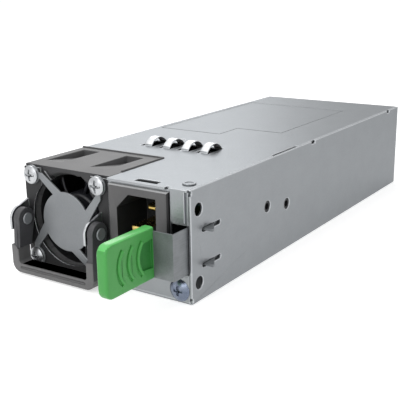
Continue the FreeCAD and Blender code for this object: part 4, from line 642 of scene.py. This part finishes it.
def growRidges(tree, given):
    start = maths(tree, "SUBTRACT", math.pi, given["halfAngle"])
    sweep = maths(tree, "MULTIPLY", given["halfAngle"], 2.0)
    arc = addNode(tree, "GeometryNodeCurveArc",
                  inputs={"Resolution": given["arcPoints"], "Radius": given["radius"], "Start Angle": start,
                          "Sweep Angle": sweep})
    # a ridge thins out to a point at both ends
    along = addNode(tree, "GeometryNodeSplineParameter").outputs["Factor"]
    bulge = maths(tree, "SINE", maths(tree, "MULTIPLY", along, math.pi))
    taper = addNode(tree, "ShaderNodeMapRange",
                    inputs={"Value": bulge, "From Max": ridgeTaper["fullFrom"], "To Min": ridgeTaper["tip"]})
    tapered = addNode(tree, "GeometryNodeSetCurveRadius",
                      inputs={0: arc.outputs["Curve"], "Radius": taper.outputs[0]})
    ridge = addNode(tree, "GeometryNodeCurveToMesh",
                    inputs={"Curve": tapered.outputs[0], "Fill Caps": True,
                            "Profile Curve": wireRing(tree, given["wireRadius"], given["wireSides"])})
    row = addNode(tree, "GeometryNodeMeshLine",
                  inputs={"Count": given["ridges"], "Offset": point(tree, y=given["pitch"])})
    # the arcs stand up in the face of the tab and open towards its root
    ridges = addNode(tree, "GeometryNodeInstanceOnPoints",
                     inputs={"Points": row.outputs[0], "Instance": ridge.outputs[0],
                             "Rotation": (math.pi / 2, 0, math.pi / 2)})
    return moved(tree, ridges.outputs[0], by=point(tree, given["face"], given["firstY"], given["middleZ"]))


def slabMesh(sizes):
    # outline in y and z with rounded corners at the tip, given its thickness along x
    corner = sizes["cornerRadius"]
    outline = [(sizes["root"], sizes["high"]), (sizes["root"], sizes["low"])]
    for middleZ, first in ((sizes["low"] + corner, -90), (sizes["high"] - corner, -180)):
        for step in range(sizes["cornerSteps"] + 1):
            angle = math.radians(first - 90 * step / sizes["cornerSteps"])
            outline.append((sizes["tip"] + corner + corner * math.cos(angle),
                            middleZ + corner * math.sin(angle)))
    work = bmesh.new()
    face = work.faces.new([work.verts.new((sizes["inner"] * mm, y * mm, z * mm)) for y, z in outline])
    drawn = bmesh.ops.extrude_face_region(work, geom=[face])["geom"]
    outer = [item for item in drawn if isinstance(item, bmesh.types.BMVert)]
    bmesh.ops.translate(work, verts=outer, vec=((sizes["outer"] - sizes["inner"]) * mm, 0, 0))
    bmesh.ops.recalc_face_normals(work, faces=work.faces)
    # the rims of both faces are rounded, all round except at the root
    nearly = 0.01 * mm
    rim = [edge for edge in work.edges if abs(edge.verts[0].co.x - edge.verts[1].co.x) < nearly
           and min(vert.co.y for vert in edge.verts) < sizes["root"] * mm - nearly]
    bmesh.ops.bevel(work, geom=rim, offset=sizes["edgeRadius"] * mm, segments=sizes["edgeSteps"], profile=0.5,
                    affect="EDGES")
    return meshFrom("tabSlab", work, smooth=True)


def pocketMesh(sizes):
    outline = []
    for step in range(sizes["steps"] + 1):
        angle = math.radians(180 - sizes["halfAngle"] + 2 * sizes["halfAngle"] * step / sizes["steps"])
        outline.append((sizes["centreY"] + sizes["radius"] * math.cos(angle),
                        sizes["middleZ"] + sizes["radius"] * math.sin(angle)))
    outline += [(sizes["end"], outline[-1][1] - sizes["flare"]),
                (sizes["end"], outline[0][1] + sizes["flare"])]
    work = bmesh.new()
    rings = [[work.verts.new((x * mm, y * mm, z * mm)) for y, z in outline]
             for x in (sizes["floor"], sizes["above"])]
    bridge(work, rings)
    for ring in rings:
        work.faces.new(ring)
    bmesh.ops.recalc_face_normals(work, faces=work.faces)
    return meshFrom("tabPocket", work)


mesh = grownMesh("tabRidges", growRidges, treeSettings(ridgeSizes, ["halfAngle"]), "greenNylon")
addPiece("tabRidges", mesh, None, "latch")
channels = grownMesh("tabChannels", growRidges, treeSettings(channelSizes, ["halfAngle"]), "greenNylon")
pocket = pocketMesh(pocketSizes)
slabBlank = slabMesh(tabSizes)
for hollowed in (slabBlank, pocket):
    hollowed.materials.append(materials["greenNylon"])
    hollowed.materials.append(materials["shadedGreen"])
# the faces cut by the pocket carry painted shade
for face in pocket.polygons:
    face.material_index = 1
mesh = cutMesh(slabBlank, [channels, pocket])
slab = addPiece("releaseTab", mesh, None, "latch", ["latch_tab"])
# painted highlight on the upward faces near the top of the tab
mesh.materials.append(materials["rubbedGreen"])
for face in mesh.polygons:
    face.use_smooth = True
    upward = face.normal.z > tabSizes["topShare"] and face.center.z > tabSizes["topFrom"] * mm
    if upward and face.material_index == 0:
        face.material_index = 2
softenEdges(slab, tabSizes["edgeWidth"], angle=40)
print("stage: release tab made")

# ring chokes: a coated core with enamelled wire wound round two parts of the ring
chokeSizes = {
    "filterChoke1": dict(place=(-22.75, -42.5, 12.6), outer=9.0, stands="filter_choke_1"),
    "filterChoke2": dict(place=(-0.75, -42.5, 12.6), outer=9.0, stands="filter_choke_2"),
    "boostChoke": dict(place=(19.85, -17.5, 12.6), outer=8.6, stands="boost_choke"),
}
windingSizes = dict(hole=3.6, height=12.0, wire=0.42, corner=1.1, turnsEach=11, gapAngle=40.0, chamfer=0.8,
                    coreSides=56, edgeWidth=0.3, cornerSteps=4, wireSides=8)


def growWinding(tree, given):
    loop = addNode(tree, "GeometryNodeCurvePrimitiveQuadrilateral",
                   inputs={"Width": given["crossWidth"], "Height": given["crossHeight"]})
    rounded = addNode(tree, "GeometryNodeFilletCurve", {"mode": "POLY"},
                      {"Curve": loop.outputs[0], "Count": windingSizes["cornerSteps"],
                       "Radius": given["corner"]})
    turn = addNode(tree, "GeometryNodeCurveToMesh",
                   inputs={"Curve": rounded.outputs[0],
                           "Profile Curve": wireRing(tree, given["wireRadius"], windingSizes["wireSides"])})
    stood = moved(tree, turn.outputs[0], by=point(tree, x=given["ringRadius"]), turned=(math.pi / 2, 0, 0))
    oneSide = turnedCopies(tree, stood, given["turns"], given["stepAngle"], "z")
    otherSide = moved(tree, oneSide, turned=(0, 0, math.pi))
    both = addNode(tree, "GeometryNodeJoinGeometry", inputs={0: [oneSide, otherSide]})
    return moved(tree, both.outputs[0], by=point(tree, given["x"], given["y"], given["z"]))


for name, values in chokeSizes.items():
    wire, hole, chamfer = windingSizes["wire"], windingSizes["hole"], windingSizes["chamfer"]
    outer = values["outer"]
    inner = hole + 2 * wire
    rim = outer - 2 * wire
    top = 0.5 * windingSizes["height"] - 2 * wire
    outline = [(inner, -top + chamfer), (inner + chamfer, -top), (rim - chamfer, -top),
               (rim, -top + chamfer), (rim, top - chamfer), (rim - chamfer, top), (inner + chamfer, top),
               (inner, top - chamfer)]
    mesh = turnedMesh(name + "Core", [(outline, values["place"])], windingSizes["coreSides"], "z")
    core = addPiece(name + "Core", mesh, "coatedCore", "supply", [values["stands"]])
    softenEdges(core, windingSizes["edgeWidth"], angle=30)
    x, y, z = values["place"]
    step = (180 - windingSizes["gapAngle"]) / (windingSizes["turnsEach"] - 1)
    sizes = dict(ringRadius=0.5 * (hole + outer), crossWidth=outer - hole - 2 * wire,
                 crossHeight=windingSizes["height"] - 2 * wire, wireRadius=wire,
                 corner=windingSizes["corner"], stepAngle=step, turns=windingSizes["turnsEach"],
                 x=x, y=y, z=z)
    mesh = grownMesh(name + "Winding", growWinding, treeSettings(sizes, ["stepAngle"]), "enamelledCopper")
    addPiece(name + "Winding", mesh, None, "supply")
print("stage: chokes wound")

# can capacitors: shrink sleeve with the rolled groove near the foot, bright top with its sleeve lip
capacitorSizes = {
    "bulk": dict(radius=10.0, height=29.0, groove=0.6, lip=1.6, foot=6.6,
                 places=((-23.25, -17.5), (-1.75, -17.5)), stands=("bulk_capacitor_1", "bulk_capacitor_2")),
    "output": dict(radius=4.0, height=15.0, groove=0.3, lip=0.7, foot=6.6,
                   places=tuple((-23.75 + 12 * i, 80.5) for i in range(5)),
                   stands=tuple("output_capacitor_" + str(i) for i in range(1, 6))),
}
# play is how far inside the sleeve's lip the top lies
canShape = dict(sides=40, play=0.05, edgeWidth=0.05)
for name, values in capacitorSizes.items():
    radius, height, groove, lip = (values[key] for key in ("radius", "height", "groove", "lip"))
    cap = radius - lip - canShape["play"]
    # the steps of both profiles are shares of the groove's depth
    sleeve = [(0, 0), (radius - groove, 0), (radius - 0.3 * groove, 0.4 * groove), (radius, groove),
              (radius, 2.2 * groove), (radius - groove, 3.2 * groove), (radius, 4.2 * groove),
              (radius, height - 1.4 * groove), (radius - 0.4 * groove, height - 0.5 * groove),
              (radius - groove, height - 0.12 * groove), (radius - lip, height - 0.12 * groove),
              (radius - lip, height - groove), (0, height - groove)]
    top = [(0, height - 0.95 * groove), (cap, height - 0.95 * groove), (cap, height - 0.5 * groove),
           (0.55 * radius, height - 0.35 * groove), (0.5 * radius, height - 0.5 * groove),
           (0, height - 0.5 * groove)]
    for part, outline, finish, stands in (("Sleeves", sleeve, "shrinkSleeve", values["stands"]),
                                          ("Tops", top, "drawnAluminium", ())):
        outlines = [(outline, (x, y, values["foot"])) for x, y in values["places"]]
        mesh = turnedMesh(name + part, outlines, canShape["sides"], "z")
        cans = addPiece(name + part, mesh, finish, "supply", stands)
        softenEdges(cans, canShape["edgeWidth"], 1, 30)
print("stage: capacitors sleeved")

# painted shade: a thin dark sheet laid inside the shallow pressed area on the cover: its outer corners, the
# way in from each of them, the line's width and the heights of its underside and its face
plateMark = dict(corners=((-34.35, -11.5), (-3.75, -11.5), (-3.75, 3.3), (17.85, 3.3), (17.85, 69.0),
                          (-34.35, 69.0)),
                 inward=((1, 1), (-1, 1), (-1, 1), (-1, 1), (-1, -1), (1, -1)),
                 width=0.55, low=38.80, high=38.90)


def lineMesh(sizes):
    work = bmesh.new()
    rings = []
    for inset, height in ((0, "low"), (0, "high"), (sizes["width"], "high"), (sizes["width"], "low")):
        rings.append([work.verts.new(((x + inX * inset) * mm, (y + inY * inset) * mm, sizes[height] * mm))
                      for (x, y), (inX, inY) in zip(sizes["corners"], sizes["inward"])])
    bridge(work, rings + rings[:1])
    bmesh.ops.recalc_face_normals(work, faces=work.faces)
    return meshFrom("pressedLine", work)


addPiece("pressedLine", lineMesh(plateMark), "shadedSheet", "supply")
print("stage: pressed line laid")

stageValues = dict(floorColour="#eeeeee", floorSize=6.0, floorDrop=0.2, cameraLift=0.55, worldStrength=0.55)
lampValues = {
    "topSoftbox": dict(place=(-0.25, -0.20, 0.75), size=0.7, watts=1.4),
    "frontFill": dict(place=(0.05, -0.90, 0.45), size=0.7, watts=2.6),
    "rearSoftbox": dict(place=(-0.47, 0.54, 0.42), size=0.38, watts=1.35),
}
lampAim = Vector((0, -0.02, 0.02))
cameraValues = dict(placeMm=(170.23, -285.64, 103.62), azimuth=33.81, elevation=16.2, roll=-0.81,
                    focalPixels=777.6, imagePixels=403, sensorMm=36, nearest=0.01)


def seenDirectly(tree):
    # 1 for rays from the camera, a mirror-like surface or clear material, 0 for the rest
    path = addNode(tree, "ShaderNodeLightPath").outputs
    glossy = maths(tree, "MAXIMUM", path["Is Camera Ray"], path["Is Glossy Ray"])
    return maths(tree, "MAXIMUM", glossy, path["Is Transmission Ray"])


def makeStage():
    material = bpy.data.materials.new("paperFloor")
    material.use_nodes = True
    tree = material.node_tree
    tree.nodes.clear()
    paint = addNode(tree, "ShaderNodeBsdfDiffuse", inputs={"Color": linear(stageValues["floorColour"])})
    lift = maths(tree, "MULTIPLY", seenDirectly(tree), stageValues["cameraLift"])
    glow = addNode(tree, "ShaderNodeEmission", inputs={"Color": (1, 1, 1, 1), "Strength": lift})
    both = addNode(tree, "ShaderNodeAddShader", inputs={0: paint.outputs[0], 1: glow.outputs[0]})
    addNode(tree, "ShaderNodeOutputMaterial", inputs={"Surface": both.outputs[0]})
    bpy.ops.mesh.primitive_grid_add(size=stageValues["floorSize"],
                                    location=(0, 0, -stageValues["floorDrop"] * mm))
    floor = bpy.context.object
    floor.name = "studioFloor"
    floor.data.materials.append(material)
    world = bpy.data.worlds.new("paleStudio")
    scene.world = world
    world.use_nodes = True
    tree = world.node_tree
    tree.nodes.clear()
    strength = mapped(tree, seenDirectly(tree), stageValues["worldStrength"], 1.0)
    light = addNode(tree, "ShaderNodeBackground", inputs={"Color": (1, 1, 1, 1), "Strength": strength})
    addNode(tree, "ShaderNodeOutputWorld", inputs={"Surface": light.outputs[0]})


def makeLamps():
    for name, values in lampValues.items():
        data = bpy.data.lights.new(name, "AREA")
        data.size = values["size"]
        data.energy = values["watts"]
        lamp = bpy.data.objects.new(name, data)
        scene.collection.objects.link(lamp)
        lamp.location = values["place"]
        lamp.rotation_euler = (lampAim - lamp.location).to_track_quat("-Z", "Y").to_euler()


def makeCamera():
    azimuth = math.radians(cameraValues["azimuth"])
    elevation = math.radians(cameraValues["elevation"])
    back = Vector((math.sin(azimuth) * math.cos(elevation), -math.cos(azimuth) * math.cos(elevation),
                   math.sin(elevation)))
    level = (-back).cross(Vector((0, 0, 1))).normalized()
    upright = back.cross(level)
    roll = math.radians(cameraValues["roll"])
    right = level * math.cos(roll) + upright * math.sin(roll)
    up = upright * math.cos(roll) - level * math.sin(roll)
    data = bpy.data.cameras.new("photoCamera")
    data.sensor_width = cameraValues["sensorMm"]
    data.lens = cameraValues["focalPixels"] / cameraValues["imagePixels"] * data.sensor_width
    data.clip_start = cameraValues["nearest"]
    camera = bpy.data.objects.new("photoCamera", data)
    scene.collection.objects.link(camera)
    turn = Matrix((right, up, back)).transposed().to_4x4()
    camera.matrix_world = Matrix.Translation(Vector(cameraValues["placeMm"]) * mm) @ turn
    scene.camera = camera


makeStage()
makeLamps()
makeCamera()
scene.view_settings.view_transform = "Standard"
print("stage: studio and camera")
